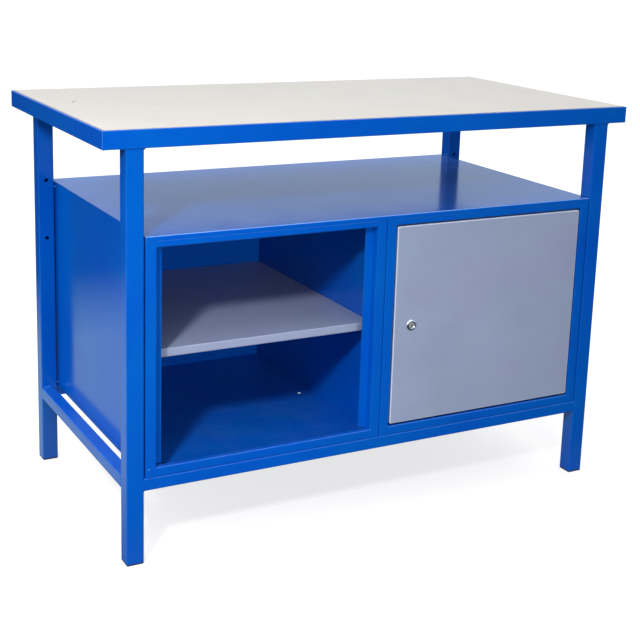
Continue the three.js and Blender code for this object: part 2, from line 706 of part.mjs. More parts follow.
const standing = (geometry) => solid(geometry.rotateX(Math.PI / 2));
const hanging = (geometry) => solid(geometry.rotateX(-Math.PI / 2));
const onHinge = (height) => [hingeX, hingeY, height];
const lowerBush = standing(hingeBush(DOOR_SILL_GAP));
const upperBush = hanging(hingeBush(DOOR_GAP));
const lowerPin = standing(hingePin(DOOR_SILL_GAP));
const upperPin = hanging(hingePin(DOOR_GAP));
addPart(doorway, 'hinge_bush_bottom', lowerBush, nylon, onHinge(sillTop + SEAT_GAP));
addPart(doorway, 'hinge_bush_top', upperBush, nylon, onHinge(headBottom - SEAT_GAP));
addPart(doorway, 'hinge_pin_bottom', lowerPin, zinc, onHinge(sillTop - SHEET - SEAT_GAP));
addPart(doorway, 'hinge_pin_top', upperPin, zinc, onHinge(headBottom + SHEET + SEAT_GAP));

// Cam lock, turned about its own axis along Y, with the door's face at depth zero and the key side at -Y
const lockPlace = [lockX, frontY, lockZ];
const coreBore = LOCK_CORE_DIAMETER / 2 + HOLE_CLEARANCE;

function lockBody() {
  const seat = -SEAT_GAP;
  const rim = seat - LOCK_BEZEL_HEIGHT / 3;
  const face = seat - LOCK_BEZEL_HEIGHT;
  const bezel = LOCK_BEZEL_DIAMETER / 2;
  const bezelFace = LOCK_BEZEL_FACE_DIAMETER / 2;
  const barrel = LOCK_BARREL_DIAMETER / 2;
  return solid(turned([
    [coreBore, face],
    [bezelFace, face],
    [bezel, rim],
    [bezel, seat],
    [barrel, seat],
    [barrel, barrelEnd],
    [coreBore, barrelEnd],
    [coreBore, face],
  ]));
}

function lockCore() {
  const face = -SEAT_GAP - LOCK_BEZEL_HEIGHT + LOCK_CORE_RECESS;
  const tailEnd = camFront + CAM_THICKNESS;
  const plug = crossBarRound(LOCK_CORE_DIAMETER, 0, 0, face, barrelEnd);
  const half = LOCK_CORE_TAIL / 2;
  const tail = block([-half, barrelEnd - SEAT_GAP, -half], [half, tailEnd - SEAT_GAP, half]);
  const keyway = block(
    [-KEYWAY_WIDTH / 2, face - SEAT_GAP, -KEYWAY_HEIGHT / 2],
    [KEYWAY_WIDTH / 2, face + KEYWAY_DEPTH, KEYWAY_HEIGHT / 2],
  );
  const screwBore = CAM_SCREW_SHANK + 2 * HOLE_CLEARANCE;
  const tapped = crossBarRound(screwBore, 0, 0, tailEnd - LOCK_SCREW_BORE_DEPTH, tailEnd + SEAT_GAP);
  return plug.add(tail).subtract(keyway).subtract(tapped);
}

function lockNut() {
  const start = DOOR_SHEET + SEAT_GAP;
  const shape = hexagon(LOCK_NUT_FLATS);
  const bore = LOCK_BARREL_DIAMETER + 2 * HOLE_CLEARANCE;
  const hole = crossBarRound(bore, 0, 0, start - SEAT_GAP, start + LOCK_NUT_HEIGHT + SEAT_GAP);
  return runY(shape, start, start + LOCK_NUT_HEIGHT).subtract(hole);
}

// The cam stands upright while the door is unlocked, and turns a quarter behind the stop lip to lock it
function lockCam() {
  const half = CAM_WIDTH / 2;
  const tip = new THREE.Shape();
  tip.absarc(0, 0, half, Math.PI, 2 * Math.PI);
  tip.absarc(half / 2, CAM_REACH - half / 2, half / 2, 0, Math.PI / 2);
  tip.absarc(-half / 2, CAM_REACH - half / 2, half / 2, Math.PI / 2, Math.PI);
  const camRear = camFront + CAM_THICKNESS;
  const square = LOCK_CORE_TAIL / 2 + HOLE_CLEARANCE;
  const hole = block([-square, camFront - SEAT_GAP, -square], [square, camRear + SEAT_GAP, square]);
  return runY(tip, camFront, camRear).subtract(hole);
}

function camScrew() {
  const seat = camFront + CAM_THICKNESS + SEAT_GAP;
  const head = CAM_SCREW_HEAD / 2;
  const shank = CAM_SCREW_SHANK / 2;
  return solid(turned([
    [0, seat - CAM_SCREW_LENGTH],
    [shank, seat - CAM_SCREW_LENGTH],
    [shank, seat],
    [head, seat],
    [head, seat + CAM_SCREW_HEAD_HEIGHT / 2],
    [head / 2, seat + CAM_SCREW_HEAD_HEIGHT],
    [0, seat + CAM_SCREW_HEAD_HEIGHT],
  ]));
}

addPart(doorway, 'lock_body', lockBody(), chrome, lockPlace);
addPart(doorway, 'lock_nut', lockNut(), zinc, lockPlace);
addPart(doorway, 'lock_core', lockCore(), chrome, lockPlace);
addPart(doorway, 'lock_cam', lockCam(), zinc, lockPlace);
addPart(doorway, 'lock_cam_screw', camScrew(), zinc, lockPlace);

export default bench;
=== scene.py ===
# %% [markdown]
# # Dressing a steel workbench
#
# The bench has a faced worktop in a steel band, a welded frame of square tube, and two sheet-metal cabinets
# under a deck. The left cabinet is open, with one shelf. The right one has a grey door with a cam lock. The
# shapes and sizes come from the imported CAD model, which is loaded here as a fixed frame. This lesson gives
# each piece its finish, softens its edges, and models what the plain solids leave out: the folded door, the
# lock, the screws and the welds. All lengths are metres, so a millimetre is written once, as MM.

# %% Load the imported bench
import math

import bpy
from mathutils import Matrix, Vector


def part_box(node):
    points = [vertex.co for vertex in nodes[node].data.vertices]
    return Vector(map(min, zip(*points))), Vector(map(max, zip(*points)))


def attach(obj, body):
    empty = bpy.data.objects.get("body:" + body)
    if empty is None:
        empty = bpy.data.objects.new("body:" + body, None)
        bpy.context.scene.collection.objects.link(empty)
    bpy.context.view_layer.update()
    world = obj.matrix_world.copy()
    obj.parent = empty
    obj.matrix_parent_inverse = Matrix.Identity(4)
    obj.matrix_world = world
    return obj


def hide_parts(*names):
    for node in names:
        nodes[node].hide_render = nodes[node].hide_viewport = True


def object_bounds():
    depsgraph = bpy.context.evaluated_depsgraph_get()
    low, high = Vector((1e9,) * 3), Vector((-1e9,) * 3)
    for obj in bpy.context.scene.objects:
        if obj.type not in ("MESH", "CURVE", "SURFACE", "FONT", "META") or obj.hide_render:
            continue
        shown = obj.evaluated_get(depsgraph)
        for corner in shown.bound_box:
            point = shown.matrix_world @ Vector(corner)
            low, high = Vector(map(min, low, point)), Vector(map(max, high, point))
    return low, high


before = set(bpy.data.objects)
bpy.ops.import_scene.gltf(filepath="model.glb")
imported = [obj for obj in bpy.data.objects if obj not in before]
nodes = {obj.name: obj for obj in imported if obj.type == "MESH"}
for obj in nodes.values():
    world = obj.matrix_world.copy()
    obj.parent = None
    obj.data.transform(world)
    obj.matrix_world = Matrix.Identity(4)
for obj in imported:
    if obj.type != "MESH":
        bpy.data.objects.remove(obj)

MM = 0.001
cad_low, cad_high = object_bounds()
bpy.ops.object.select_all(action="DESELECT")
print("pieces loaded:", len(nodes), "box in mm:", [round(v / MM, 1) for v in cad_high - cad_low])

# %% [markdown]
# ## The camera
#
# The photograph was taken from the front left, a little above the worktop, with a fairly long lens. The
# place and the angles were worked out from the bench's own straight edges. A camera's turn is easiest to
# read as three steps: a heading about the upright axis, a dip below the horizon, and a small roll. The
# photograph seems to be cut from a larger picture, and a downward lens shift gives that look. But a shift
# moves other views as well, so only a small one is used.

# %% Camera
CAMERA_PLACE = (-1.326, -2.439, 1.1996)
CAMERA_HEADING = 28.64
CAMERA_DIP = 12.80
CAMERA_ROLL = 1.81
CAMERA_LENS = 71.93
CAMERA_SHIFT = -0.15
SENSOR_WIDTH = 36

bpy.ops.object.camera_add(location=CAMERA_PLACE)
camera = bpy.context.object
camera.name = "photo_camera"
heading = Matrix.Rotation(math.radians(-CAMERA_HEADING), 3, "Z")
dip = Matrix.Rotation(math.radians(90 - CAMERA_DIP), 3, "X")
roll = Matrix.Rotation(math.radians(CAMERA_ROLL), 3, "Z")
camera.rotation_euler = (heading @ dip @ roll).to_euler()
camera.data.sensor_width = SENSOR_WIDTH
camera.data.lens = CAMERA_LENS
camera.data.shift_y = CAMERA_SHIFT
bpy.context.scene.camera = camera
bpy.context.scene.view_settings.view_transform = "Standard"
print("camera at", CAMERA_PLACE, "lens", CAMERA_LENS)

# %% [markdown]
# ## Building materials from nodes
#
# A material is a small tree of nodes. A few helpers keep the trees short to write. The first adds any node
# and sets or links its inputs. The others add the nodes that turn up everywhere: one number made from two,
# a range stretched over another, two colours mixed, and a noise on Object coordinates, which are the
# bench's own metres.

# %% Node helpers
def add_node(tree, kind, sockets=None, **settings):
    """Adds a node, sets its own settings, then sets each named input or links it to an output."""
    made = tree.nodes.new(kind)
    for name, value in settings.items():
        setattr(made, name, value)
    for name, value in (sockets or {}).items():
        if isinstance(value, bpy.types.NodeSocket):
            tree.links.new(value, made.inputs[name])
        else:
            made.inputs[name].default_value = value
    return made


def combine(tree, operation, first, second):
    """One number made from two, such as their product."""
    return add_node(tree, "ShaderNodeMath", {0: first, 1: second}, operation=operation).outputs[0]


def remap(tree, value, from_low, from_high, to_low=0.0, to_high=1.0):
    """Stretches one range of values over another, and holds what lies outside at its ends."""
    return add_node(tree, "ShaderNodeMapRange", {
        "Value": value,
        "From Min": from_low,
        "From Max": from_high,
        "To Min": to_low,
        "To Max": to_high,
    }).outputs[0]


def mix_colours(tree, factor, first, second):
    sockets = {"Factor": factor, 6: first, 7: second}
    return add_node(tree, "ShaderNodeMix", sockets, data_type="RGBA").outputs[2]


def bench_place(tree):
    """The place of a point on the bench, in metres."""
    return add_node(tree, "ShaderNodeTexCoord").outputs["Object"]


def add_noise(tree, place, waves_per_metre, detail=2.0, roughness=0.5):
    return add_node(tree, "ShaderNodeTexNoise", {
        "Vector": place,
        "Scale": waves_per_metre,
        "Detail": detail,
        "Roughness": roughness,
    })


print("node helpers ready")

# %% [markdown]
# A node group is a tree that several materials share. It has named inputs, so each material places it with
# values of its own. Every group here has one output.

# %% Group helpers
FLOAT = "NodeSocketFloat"
COLOUR = "NodeSocketColor"
VECTOR = "NodeSocketVector"


def new_group(name, inputs, output, output_kind):
    """Starts a shader node group with named inputs and one named output."""
    group = bpy.data.node_groups.new(name, "ShaderNodeTree")
    for label, kind, value in inputs:
        socket = group.interface.new_socket(label, in_out="INPUT", socket_type=kind)
        socket.default_value = value
    group.interface.new_socket(output, in_out="OUTPUT", socket_type=output_kind)
    return group, group.nodes.new("NodeGroupInput"), group.nodes.new("NodeGroupOutput")


def use_group(tree, group, sockets=None):
    """Places a group in a tree with its own values, and returns what the group puts out."""
    return add_node(tree, "ShaderNodeGroup", sockets, node_tree=group).outputs[0]


print("group helpers ready")

# %% [markdown]
# ## Shared effects: orange peel
#
# Powder coat melts and flows in an oven, and it sets with a fine waviness called orange peel, a few
# millimetres from crest to crest and some hundredths of a millimetre deep. It can't be seen as a shape, but
# it blurs and breaks up reflections. A noise texture on Object coordinates drives a Bump node, whose
# Distance is a real depth in metres.

# %% Orange peel group
def make_orange_peel():
    inputs = [("Waves per metre", FLOAT, 300.0), ("Depth", FLOAT, 0.02 * MM)]
    group, start, end = new_group("orange_peel", inputs, "Normal", VECTOR)
    waves = add_noise(group, bench_place(group), start.outputs["Waves per metre"], detail=1.0, roughness=0.4)
    bump = add_node(group, "ShaderNodeBump", {"Height": waves.outputs[0], "Distance": start.outputs["Depth"]})
    group.links.new(bump.outputs["Normal"], end.inputs["Normal"])
    return group


orange_peel = make_orange_peel()
print("group:", orange_peel.name)

# %% [markdown]
# ## Shared effects: drift of tone
#
# No sprayed or pressed surface has one colour all over. The film is a little thicker here and thinner
# there, so its tone drifts over a hand's breadth. The group multiplies the colour's value by a soft cloud
# around one, and a second cloud may turn its hue a little.

# %% Tone drift group
NOISE_MIDDLE = 0.5
SAME_HUE = 0.5
SAME_VALUE = 1.0


def make_tone_drift():
    inputs = [
        ("Colour", COLOUR, (0.5, 0.5, 0.5, 1)),
        ("Clouds per metre", FLOAT, 6.0),
        ("Drift", FLOAT, 0.1),
        ("Hue drift", FLOAT, 0.0),
    ]
    group, start, end = new_group("tone_drift", inputs, "Colour", COLOUR)
    cloud = add_noise(group, bench_place(group), start.outputs["Clouds per metre"], detail=4.0, roughness=0.6)
    second = add_node(group, "ShaderNodeSeparateColor", {0: cloud.outputs["Color"]})

    def swing_about(middle, noise, amount):
        centred = combine(group, "SUBTRACT", noise, NOISE_MIDDLE)
        sockets = {0: centred, 1: start.outputs[amount], 2: middle}
        return add_node(group, "ShaderNodeMath", sockets, operation="MULTIPLY_ADD").outputs[0]

    toned = add_node(group, "ShaderNodeHueSaturation", {
        "Hue": swing_about(SAME_HUE, second.outputs["Green"], "Hue drift"),
        "Value": swing_about(SAME_VALUE, cloud.outputs[0], "Drift"),
        "Color": start.outputs["Colour"],
    })
    group.links.new(toned.outputs["Color"], end.inputs["Colour"])
    return group


tone_drift = make_tone_drift()
print("group:", tone_drift.name)

# %% [markdown]
# ## Shared effects: dust, rubbing and a painted bend highlight
#
# Things that are slid over a shelf or a worktop leave fine straight marks. A noise that is squeezed hard in
# one direction gives streaks, a second noise keeps them to a few patches, and they too lie only on level
# faces. The bend at the front of a sheet is painted paler: this is a painted highlight, standing in for the
# light from above that such a bend catches. The same upward part finds that bend: it lies between an upright
# face and a level one.

# %% Dust group
STEEP_TO_LEVEL = (0.6, 1.0)
DUST_PATCHES_PER_METRE = 14.0
BARE_TO_DUSTY = (0.35, 0.75)


def upward_part(group):
    """The upward part of the surface's normal: one on level faces, zero on upright ones."""
    surface = add_node(group, "ShaderNodeNewGeometry")
    return add_node(group, "ShaderNodeSeparateXYZ", {0: surface.outputs["Normal"]}).outputs["Z"]


def level_faces(group):
    """One on faces that look up, falling to zero on steep ones."""
    return remap(group, upward_part(group), *STEEP_TO_LEVEL)


def make_mask(name, amount, make_parts):
    """A group whose mask is its amount times each of the parts that the given function makes."""
    group, start, end = new_group(name, [("Amount", FLOAT, amount)], "Mask", FLOAT)
    mask = start.outputs["Amount"]
    for part in make_parts(group):
        mask = combine(group, "MULTIPLY", mask, part)
    group.links.new(mask, end.inputs["Mask"])
    print("group:", name)
    return group


def dust_parts(group):
    patches = add_noise(group, bench_place(group), DUST_PATCHES_PER_METRE, detail=8.0, roughness=0.7)
    return level_faces(group), remap(group, patches.outputs[0], *BARE_TO_DUSTY)


settled_dust = make_mask("settled_dust", 0.1, dust_parts)

# %% Rub mark and painted bend highlight groups
RUB_DIRECTIONS = (12, -28, 71)
RUB_SQUEEZE = (9.0, 900.0, 9.0)
CLEAN_TO_STREAK = (0.66, 0.76)
RUB_PATCHES_PER_METRE = 7.0
CLEAN_TO_PATCH = (0.48, 0.66)
UPRIGHT_TO_BEND = (0.25, 0.45)
LEVEL_TO_BEND = (0.98, 0.92)


def rub_parts(group):
    place = bench_place(group)
    streaks = 0.0
    for angle in RUB_DIRECTIONS:
        turned = add_node(group, "ShaderNodeMapping", {
            "Vector": place,
            "Rotation": (0, 0, math.radians(angle)),
            "Scale": RUB_SQUEEZE,
        })
        noise = add_noise(group, turned.outputs[0], 1.0, detail=0.0)
        streaks = combine(group, "MAXIMUM", streaks, remap(group, noise.outputs[0], *CLEAN_TO_STREAK))
    patches = add_noise(group, place, RUB_PATCHES_PER_METRE)
    return streaks, remap(group, patches.outputs[0], *CLEAN_TO_PATCH), level_faces(group)


# This mask says where the painted highlight goes: on bends between an upright face and a level one.
def bend_highlight_parts(group):
    upward = upward_part(group)
    return [remap(group, upward, *limits) for limits in (UPRIGHT_TO_BEND, LEVEL_TO_BEND)]


rub_marks = make_mask("rub_marks", 0.5, rub_parts)
painted_bend_highlight = make_mask("painted_bend_highlight", 1.0, bend_highlight_parts)

# %% [markdown]
# ## Paint on steel
#
# The frame and the cabinets have a glossy blue powder coat, the shelf and the door a satin grey one. Both
# are the same build of nodes with other values. A Principled shader stands for the paint film. Its colour
# drifts and takes a little dust, its roughness varies and rises where something has rubbed, and orange peel
# bends its normal. A second, paler paint is put on edges only: partly because a film pulls thin over a
# corner, and partly as a painted highlight for the light that the corner catches.

# %% How a paint is built
DUST_COLOUR = (0.55, 0.54, 0.52, 1)
PAINT_IOR = 1.52
FINE_PEEL = 0.012 * MM
GLOSS_PATCHES_PER_METRE = 9.0
NOISE_RANGE = (0.3, 0.7)


def start_material(name):
    """Makes a node material and returns it with its tree and its Principled shader."""
    material = bpy.data.materials.new(name)
    material.use_nodes = True
    return material, material.node_tree, material.node_tree.nodes["Principled BSDF"]


def vary_gloss(tree, roughness, noise, glossier, duller):
    """A roughness that runs from glossier to duller times its plain value, in the patches of a noise."""
    return remap(tree, noise.outputs[0], *NOISE_RANGE, roughness * glossier, roughness * duller)


def make_paint(name, colour, roughness, dust, rubbing, peel_depth=FINE_PEEL,
               drift=0.14, hue_drift=0.02, bends=None):
    """A paint film: its colour, gloss, dust, rub marks and peel, and a paler colour on bends as a painted
    highlight.
    """
    material, tree, shader = start_material(name)
    toned = use_group(tree, tone_drift, {"Colour": colour, "Drift": drift, "Hue drift": hue_drift})
    film = mix_colours(tree, use_group(tree, settled_dust, {"Amount": dust}), toned, DUST_COLOUR)
    # Bends are painted paler here, as a painted highlight for the light they catch from above.
    if bends:
        film = mix_colours(tree, use_group(tree, painted_bend_highlight), film, bends)
    tree.links.new(film, shader.inputs["Base Color"])
    patches = add_noise(tree, bench_place(tree), GLOSS_PATCHES_PER_METRE, detail=3.0)
    gloss = vary_gloss(tree, roughness, patches, glossier=0.85, duller=1.2)
    dulled = combine(tree, "ADD", gloss, use_group(tree, rub_marks, {"Amount": rubbing}))
    tree.links.new(dulled, shader.inputs["Roughness"])
    tree.links.new(use_group(tree, orange_peel, {"Depth": peel_depth}), shader.inputs["Normal"])
    shader.inputs["IOR"].default_value = PAINT_IOR
    return material


print("paint helper ready")

# %% Blue and grey paint
BLUE = (0.0, 0.095, 0.51, 1)
# The edge colours are paler than their paints partly for thin paint over a corner and partly as a painted
# highlight.
BLUE_EDGE_AND_HIGHLIGHT = (0.03, 0.165, 0.61, 1)
# The bend colour below is a painted highlight: bends that look up are painted paler in place of the light
# they catch.
BLUE_BEND_HIGHLIGHT = (0.16, 0.32, 0.74, 1)
GREY = (0.293, 0.346, 0.5, 1)
GREY_EDGE_AND_HIGHLIGHT = (0.5, 0.57, 0.72, 1)
SATIN = {"roughness": 0.4, "dust": 0.04, "rubbing": 0.1, "peel_depth": 0.015 * MM}
GLOSSY = {"roughness": 0.14, "dust": 0.03, "rubbing": 0.04}
blue_paint = make_paint("blue_powder_coat", BLUE, **GLOSSY)
deck_paint = make_paint("blue_paint_on_deck", BLUE, **GLOSSY, bends=BLUE_BEND_HIGHLIGHT)
blue_edge_and_highlight = make_paint("blue_paint_and_painted_highlight_on_edges", BLUE_EDGE_AND_HIGHLIGHT, roughness=0.24, dust=0.02, rubbing=0.05)
grey_paint = make_paint("grey_satin_paint", GREY, **SATIN, drift=0.2, hue_drift=0.06)
grey_edge_and_highlight = make_paint("grey_paint_and_painted_highlight_on_edges", GREY_EDGE_AND_HIGHLIGHT, roughness=0.4, dust=0.02, rubbing=0.05, drift=0.1)
print("paints:", [paint.name for paint in (blue_paint, deck_paint, blue_edge_and_highlight, grey_paint, grey_edge_and_highlight)])

# %% [markdown]
# ## The worktop's facing and board
#
# The facing is a pale, slightly warm laminate. It has faint blotches, fine rub marks, and near its left end
# a short nick with a fainter scuff beside it. Each is drawn with a gradient across a narrow slanted box of
# Object coordinates, so it stays in one place on the bench. Under the facing is a pressed board: chips of
# wood in two tones, cut by a Voronoi pattern that is stretched along the board.

# %% Laminate
LAMINATE = (0.576, 0.54, 0.482, 1)
LAMINATE_RUBBED = (0.5, 0.49, 0.47, 1)
LAMINATE_SHINE = 0.1
LAMINATE_ROUGHNESS = (0.5, 0.75)
NICK = ((-0.53, 0.082, 0.85), -62, 46 * MM, 5 * MM)
NICK_COLOUR = (0.3, 0.28, 0.25, 1)
SCUFF = ((-0.493, 0.034, 0.85), -48, 60 * MM, 5 * MM)
SCUFF_COLOUR = (0.49, 0.465, 0.42, 1)


def make_mark(tree, centre, degrees, length, width):
    """A soft-edged bar at a place: one along its middle, falling to zero outside."""
    moved = add_node(tree, "ShaderNodeVectorMath", {0: bench_place(tree), 1: centre}, operation="SUBTRACT")
    sockets = {"Vector": moved.outputs[0], "Angle": math.radians(degrees)}
    turned = add_node(tree, "ShaderNodeVectorRotate", sockets)
    split = add_node(tree, "ShaderNodeSeparateXYZ", {0: turned.outputs[0]})
    mask = 1.0
    for axis, half in (("X", length / 2), ("Y", width / 2)):
        far = add_node(tree, "ShaderNodeMath", {0: split.outputs[axis]}, operation="ABSOLUTE")
        mask = combine(tree, "MULTIPLY", mask, remap(tree, far.outputs[0], half, half * 0.5))
    return mask


def make_laminate():
    material, tree, shader = start_material("pale_laminate")
    tones = {"Colour": LAMINATE, "Clouds per metre": 7.0, "Drift": 0.16, "Hue drift": 0.1}
    rubbed = use_group(tree, rub_marks, {"Amount": 0.35})
    colour = mix_colours(tree, rubbed, use_group(tree, tone_drift, tones), LAMINATE_RUBBED)
    for mark, tone in ((NICK, NICK_COLOUR), (SCUFF, SCUFF_COLOUR)):
        colour = mix_colours(tree, make_mark(tree, *mark), colour, tone)
    tree.links.new(colour, shader.inputs["Base Color"])
    shader.inputs["Specular IOR Level"].default_value = LAMINATE_SHINE
    tree.links.new(remap(tree, rubbed, 0.0, 1.0, *LAMINATE_ROUGHNESS), shader.inputs["Roughness"])
    grain = use_group(tree, orange_peel, {"Waves per metre": 900.0, "Depth": FINE_PEEL})
    tree.links.new(grain, shader.inputs["Normal"])
    return material


laminate = make_laminate()
print("facing:", laminate.name)

# %% Board
CHIPS_PER_METRE = (120.0, 320.0, 320.0)
CHIP_DEPTH = 0.1 * MM
DARK_CHIP = (0.33, 0.2, 0.1, 1)
PALE_CHIP = (0.62, 0.45, 0.27, 1)
BOARD_ROUGHNESS = 0.75


def make_board():
    material, tree, shader = start_material("pressed_board")
    stretched = add_node(tree, "ShaderNodeMapping", {"Vector": bench_place(tree), "Scale": CHIPS_PER_METRE})
    chips = add_node(tree, "ShaderNodeTexVoronoi", {"Vector": stretched.outputs[0], "Scale": 1.0})
    tone = add_node(tree, "ShaderNodeValToRGB", {"Fac": chips.outputs["Color"]})
    tone.color_ramp.elements[0].color = DARK_CHIP
    tone.color_ramp.elements[1].color = PALE_CHIP
    tree.links.new(tone.outputs["Color"], shader.inputs["Base Color"])
    bump = add_node(tree, "ShaderNodeBump", {"Height": chips.outputs["Distance"], "Distance": CHIP_DEPTH})
    tree.links.new(bump.outputs["Normal"], shader.inputs["Normal"])
    shader.inputs["Roughness"].default_value = BOARD_ROUGHNESS
    return material


board = make_board()
print("board:", board.name)

# %% [markdown]
# ## Metals and plastics
#
# The lock is chrome plated, and its core is worn to a satin. The screws, pins and cam are zinc plated, the
# foot plugs are black plastic, and the hinge bushes are black nylon. Zinc has crystals and a dull bloom, so
# its tone and roughness vary in spots. Chrome is bright, with faint polishing marks that blur what it
# mirrors. Moulded plastic has a fine sparked grain.

# %% Chrome, zinc, black plastic and nylon
GRAIN_PER_METRE = 1800.0


def make_plain(name, colour, roughness, spots_per_metre, contrast, grain_depth, metallic=0.0):
    """A finish whose tone and roughness vary in spots, with a fine grain."""
    material, tree, shader = start_material(name)
    tones = {"Colour": colour, "Clouds per metre": spots_per_metre, "Drift": contrast}
    tree.links.new(use_group(tree, tone_drift, tones), shader.inputs["Base Color"])
    spots = add_noise(tree, bench_place(tree), spots_per_metre * 2)
    gloss = vary_gloss(tree, roughness, spots, glossier=0.75, duller=1.3)
    tree.links.new(gloss, shader.inputs["Roughness"])
    grain = use_group(tree, orange_peel, {"Waves per metre": GRAIN_PER_METRE, "Depth": grain_depth})
    tree.links.new(grain, shader.inputs["Normal"])
    shader.inputs["Metallic"].default_value = metallic
    print("small-part finish:", name)
    return material


PLATING = {"spots_per_metre": 160.0, "contrast": 0.15, "grain_depth": 0.0004 * MM}
ZINC_BLOOM = {"spots_per_metre": 350.0, "contrast": 0.5, "grain_depth": 0.004 * MM}
MOULDED = {"spots_per_metre": 60.0, "contrast": 0.4, "grain_depth": 0.01 * MM}
TURNED_NYLON = {"spots_per_metre": 90.0, "contrast": 0.3, "grain_depth": 0.006 * MM}
chrome = make_plain("bright_chrome", (0.84, 0.85, 0.86, 1), roughness=0.3, metallic=1.0, **PLATING)
satin_chrome = make_plain("satin_chrome", (0.5, 0.51, 0.52, 1), roughness=0.5, metallic=0.5, **PLATING)
zinc = make_plain("zinc_plate", (0.55, 0.56, 0.57, 1), roughness=0.36, metallic=1.0, **ZINC_BLOOM)
black_plastic = make_plain("black_moulded_plastic_and_keyway_shade", (0.012, 0.012, 0.013, 1), roughness=0.5, **MOULDED)
nylon = make_plain("black_nylon", (0.02, 0.021, 0.024, 1), roughness=0.45, **TURNED_NYLON)

# %% [markdown]
# ## Softening the CAD edges
#
# The CAD solids arrive as loose triangles with knife-sharp edges, and their meshes have to stay as they
# are. So the work is done by live modifiers: a small geometry-node tree joins the triangles and shades them
# smoothly, Decimate in its dissolve mode turns flat triangles back into whole faces, Bevel rounds each true
# edge by a few tenths of a millimetre, and Weighted Normal keeps the large faces flat. Bevel also puts the
# paler edge paint on what it rounds, which is partly a painted highlight.

# %% Join and smooth
JOIN_DISTANCE = 0.005 * MM
FLAT_ANGLE = math.radians(1)
EDGE_ANGLE = math.radians(38)
EDGE_SLOT = 1


def make_joiner():
    group = bpy.data.node_groups.new("join_and_smooth", "GeometryNodeTree")
    group.interface.new_socket("Geometry", in_out="INPUT", socket_type="NodeSocketGeometry")
    group.interface.new_socket("Geometry", in_out="OUTPUT", socket_type="NodeSocketGeometry")
    start = group.nodes.new("NodeGroupInput")
    end = group.nodes.new("NodeGroupOutput")
    sockets = {"Geometry": start.outputs[0], "Distance": JOIN_DISTANCE}
    joined = add_node(group, "GeometryNodeMergeByDistance", sockets)
    smooth = add_node(group, "GeometryNodeSetShadeSmooth", {"Geometry": joined.outputs[0]})
    group.links.new(smooth.outputs[0], end.inputs[0])
    return group


joiner = make_joiner()


def soften(node, width):
    """Adds the live modifiers that round a CAD solid's edges by this width."""
    node.modifiers.new("join", "NODES").node_group = joiner
    flat = node.modifiers.new("flat", "DECIMATE")
    flat.decimate_type = "DISSOLVE"
    flat.angle_limit = FLAT_ANGLE
    edge = node.modifiers.new("edge", "BEVEL")
    edge.width = width
    edge.segments = 2
    edge.limit_method = "ANGLE"
    edge.angle_limit = EDGE_ANGLE
    # The rounded edge takes the paler edge paint, which is partly a painted highlight.
    edge.material = EDGE_SLOT
    node.modifiers.new("shade", "WEIGHTED_NORMAL")


print("edge helper ready")

# %% [markdown]
# ## Dressing the CAD pieces
#
# Each imported piece already knows its finish by name, from the record. A table pairs that name with the new
# material, the material for its edges, which is partly a painted highlight, and the width of its rounded
# edges. Rolled and drawn sections have rounder edges than sheet. The deck alone has a painted highlight on
# its front bend.

# %% Finishes by slot
EDGE_STEEL = 0.35 * MM
EDGE_FINE = 0.12 * MM
# The edge finishes of the blue and grey paint carry a painted highlight as well as thin paint.
finishes = {
    "blue_paint": (blue_paint, blue_edge_and_highlight, EDGE_STEEL),
    "grey_paint": (grey_paint, grey_edge_and_highlight, EDGE_STEEL),
    "laminate": (laminate, laminate, EDGE_FINE),
    "plywood": (board, board, EDGE_FINE),
    "black_plastic": (black_plastic, black_plastic, EDGE_STEEL),
    "chrome": (chrome, chrome, EDGE_FINE),
    "zinc": (zinc, zinc, EDGE_FINE),
    "nylon": (nylon, nylon, EDGE_FINE),
}
counts = {}
for node in nodes.values():
    slot_name = node.data.materials[0].name
    body_finish, edge_finish, edge_width = finishes[slot_name]
    node.material_slots[0].material = body_finish
    node.data.materials.append(edge_finish)
    soften(node, edge_width)
    counts[slot_name] = counts.get(slot_name, 0) + 1
# The deck's paint paints its front bend paler, as a painted highlight.
nodes["deck"].material_slots[0].material = deck_paint
print("pieces by finish:", counts)

# %% [markdown]
# ## Helpers for modelling by hand
#
# New pieces are modelled with the operators a person would use. An operator acts on what is selected, so a
# helper selects just the faces or edges that a rule picks out by their place. Another ends every piece in
# the same way: smooth shading, flat faces kept flat, a finish and a body to ride on.

# %% Selecting and finishing
SMOOTH_ANGLE = math.radians(40)


def pick(piece, kind, rule):
    """Selects, in edit mode, only those faces or edges of the piece for which the rule holds."""
    bpy.ops.object.mode_set(mode="EDIT")
    bpy.ops.mesh.select_mode(type=kind)
    bpy.ops.mesh.select_all(action="DESELECT")
    bpy.ops.object.mode_set(mode="OBJECT")
    spots = [vertex.co.copy() for vertex in piece.data.vertices]
    for part in piece.data.polygons if kind == "FACE" else piece.data.edges:
        part.select = rule([spots[i] for i in part.vertices])
    bpy.ops.object.mode_set(mode="EDIT")


def make_active(piece):
    bpy.ops.object.select_all(action="DESELECT")
    piece.select_set(True)
    bpy.context.view_layer.objects.active = piece


def apply_place():
    """Puts the active object's place, turn and size into its mesh."""
    bpy.ops.object.transform_apply(location=True, rotation=True, scale=True)


def apply_modifier(piece, kind, **settings):
    """Adds one modifier to the piece, sets it up and applies it."""
    make_active(piece)
    modifier = piece.modifiers.new(kind.lower(), kind)
    for name, value in settings.items():
        setattr(modifier, name, value)
    bpy.ops.object.modifier_apply(modifier=modifier.name)


def finish_piece(piece, name, finish, body):
    """Shades a modelled piece, gives it its finish and sets it on its body."""
    make_active(piece)
    apply_place()
    bpy.ops.object.shade_smooth_by_angle(angle=SMOOTH_ANGLE)
    apply_modifier(piece, "WEIGHTED_NORMAL", keep_sharp=True)
    piece.name = name
    piece.data.name = name
    piece.data.materials.clear()
    piece.data.materials.append(finish)
    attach(piece, body)
    print("made", name, "with", len(piece.data.polygons), "faces")


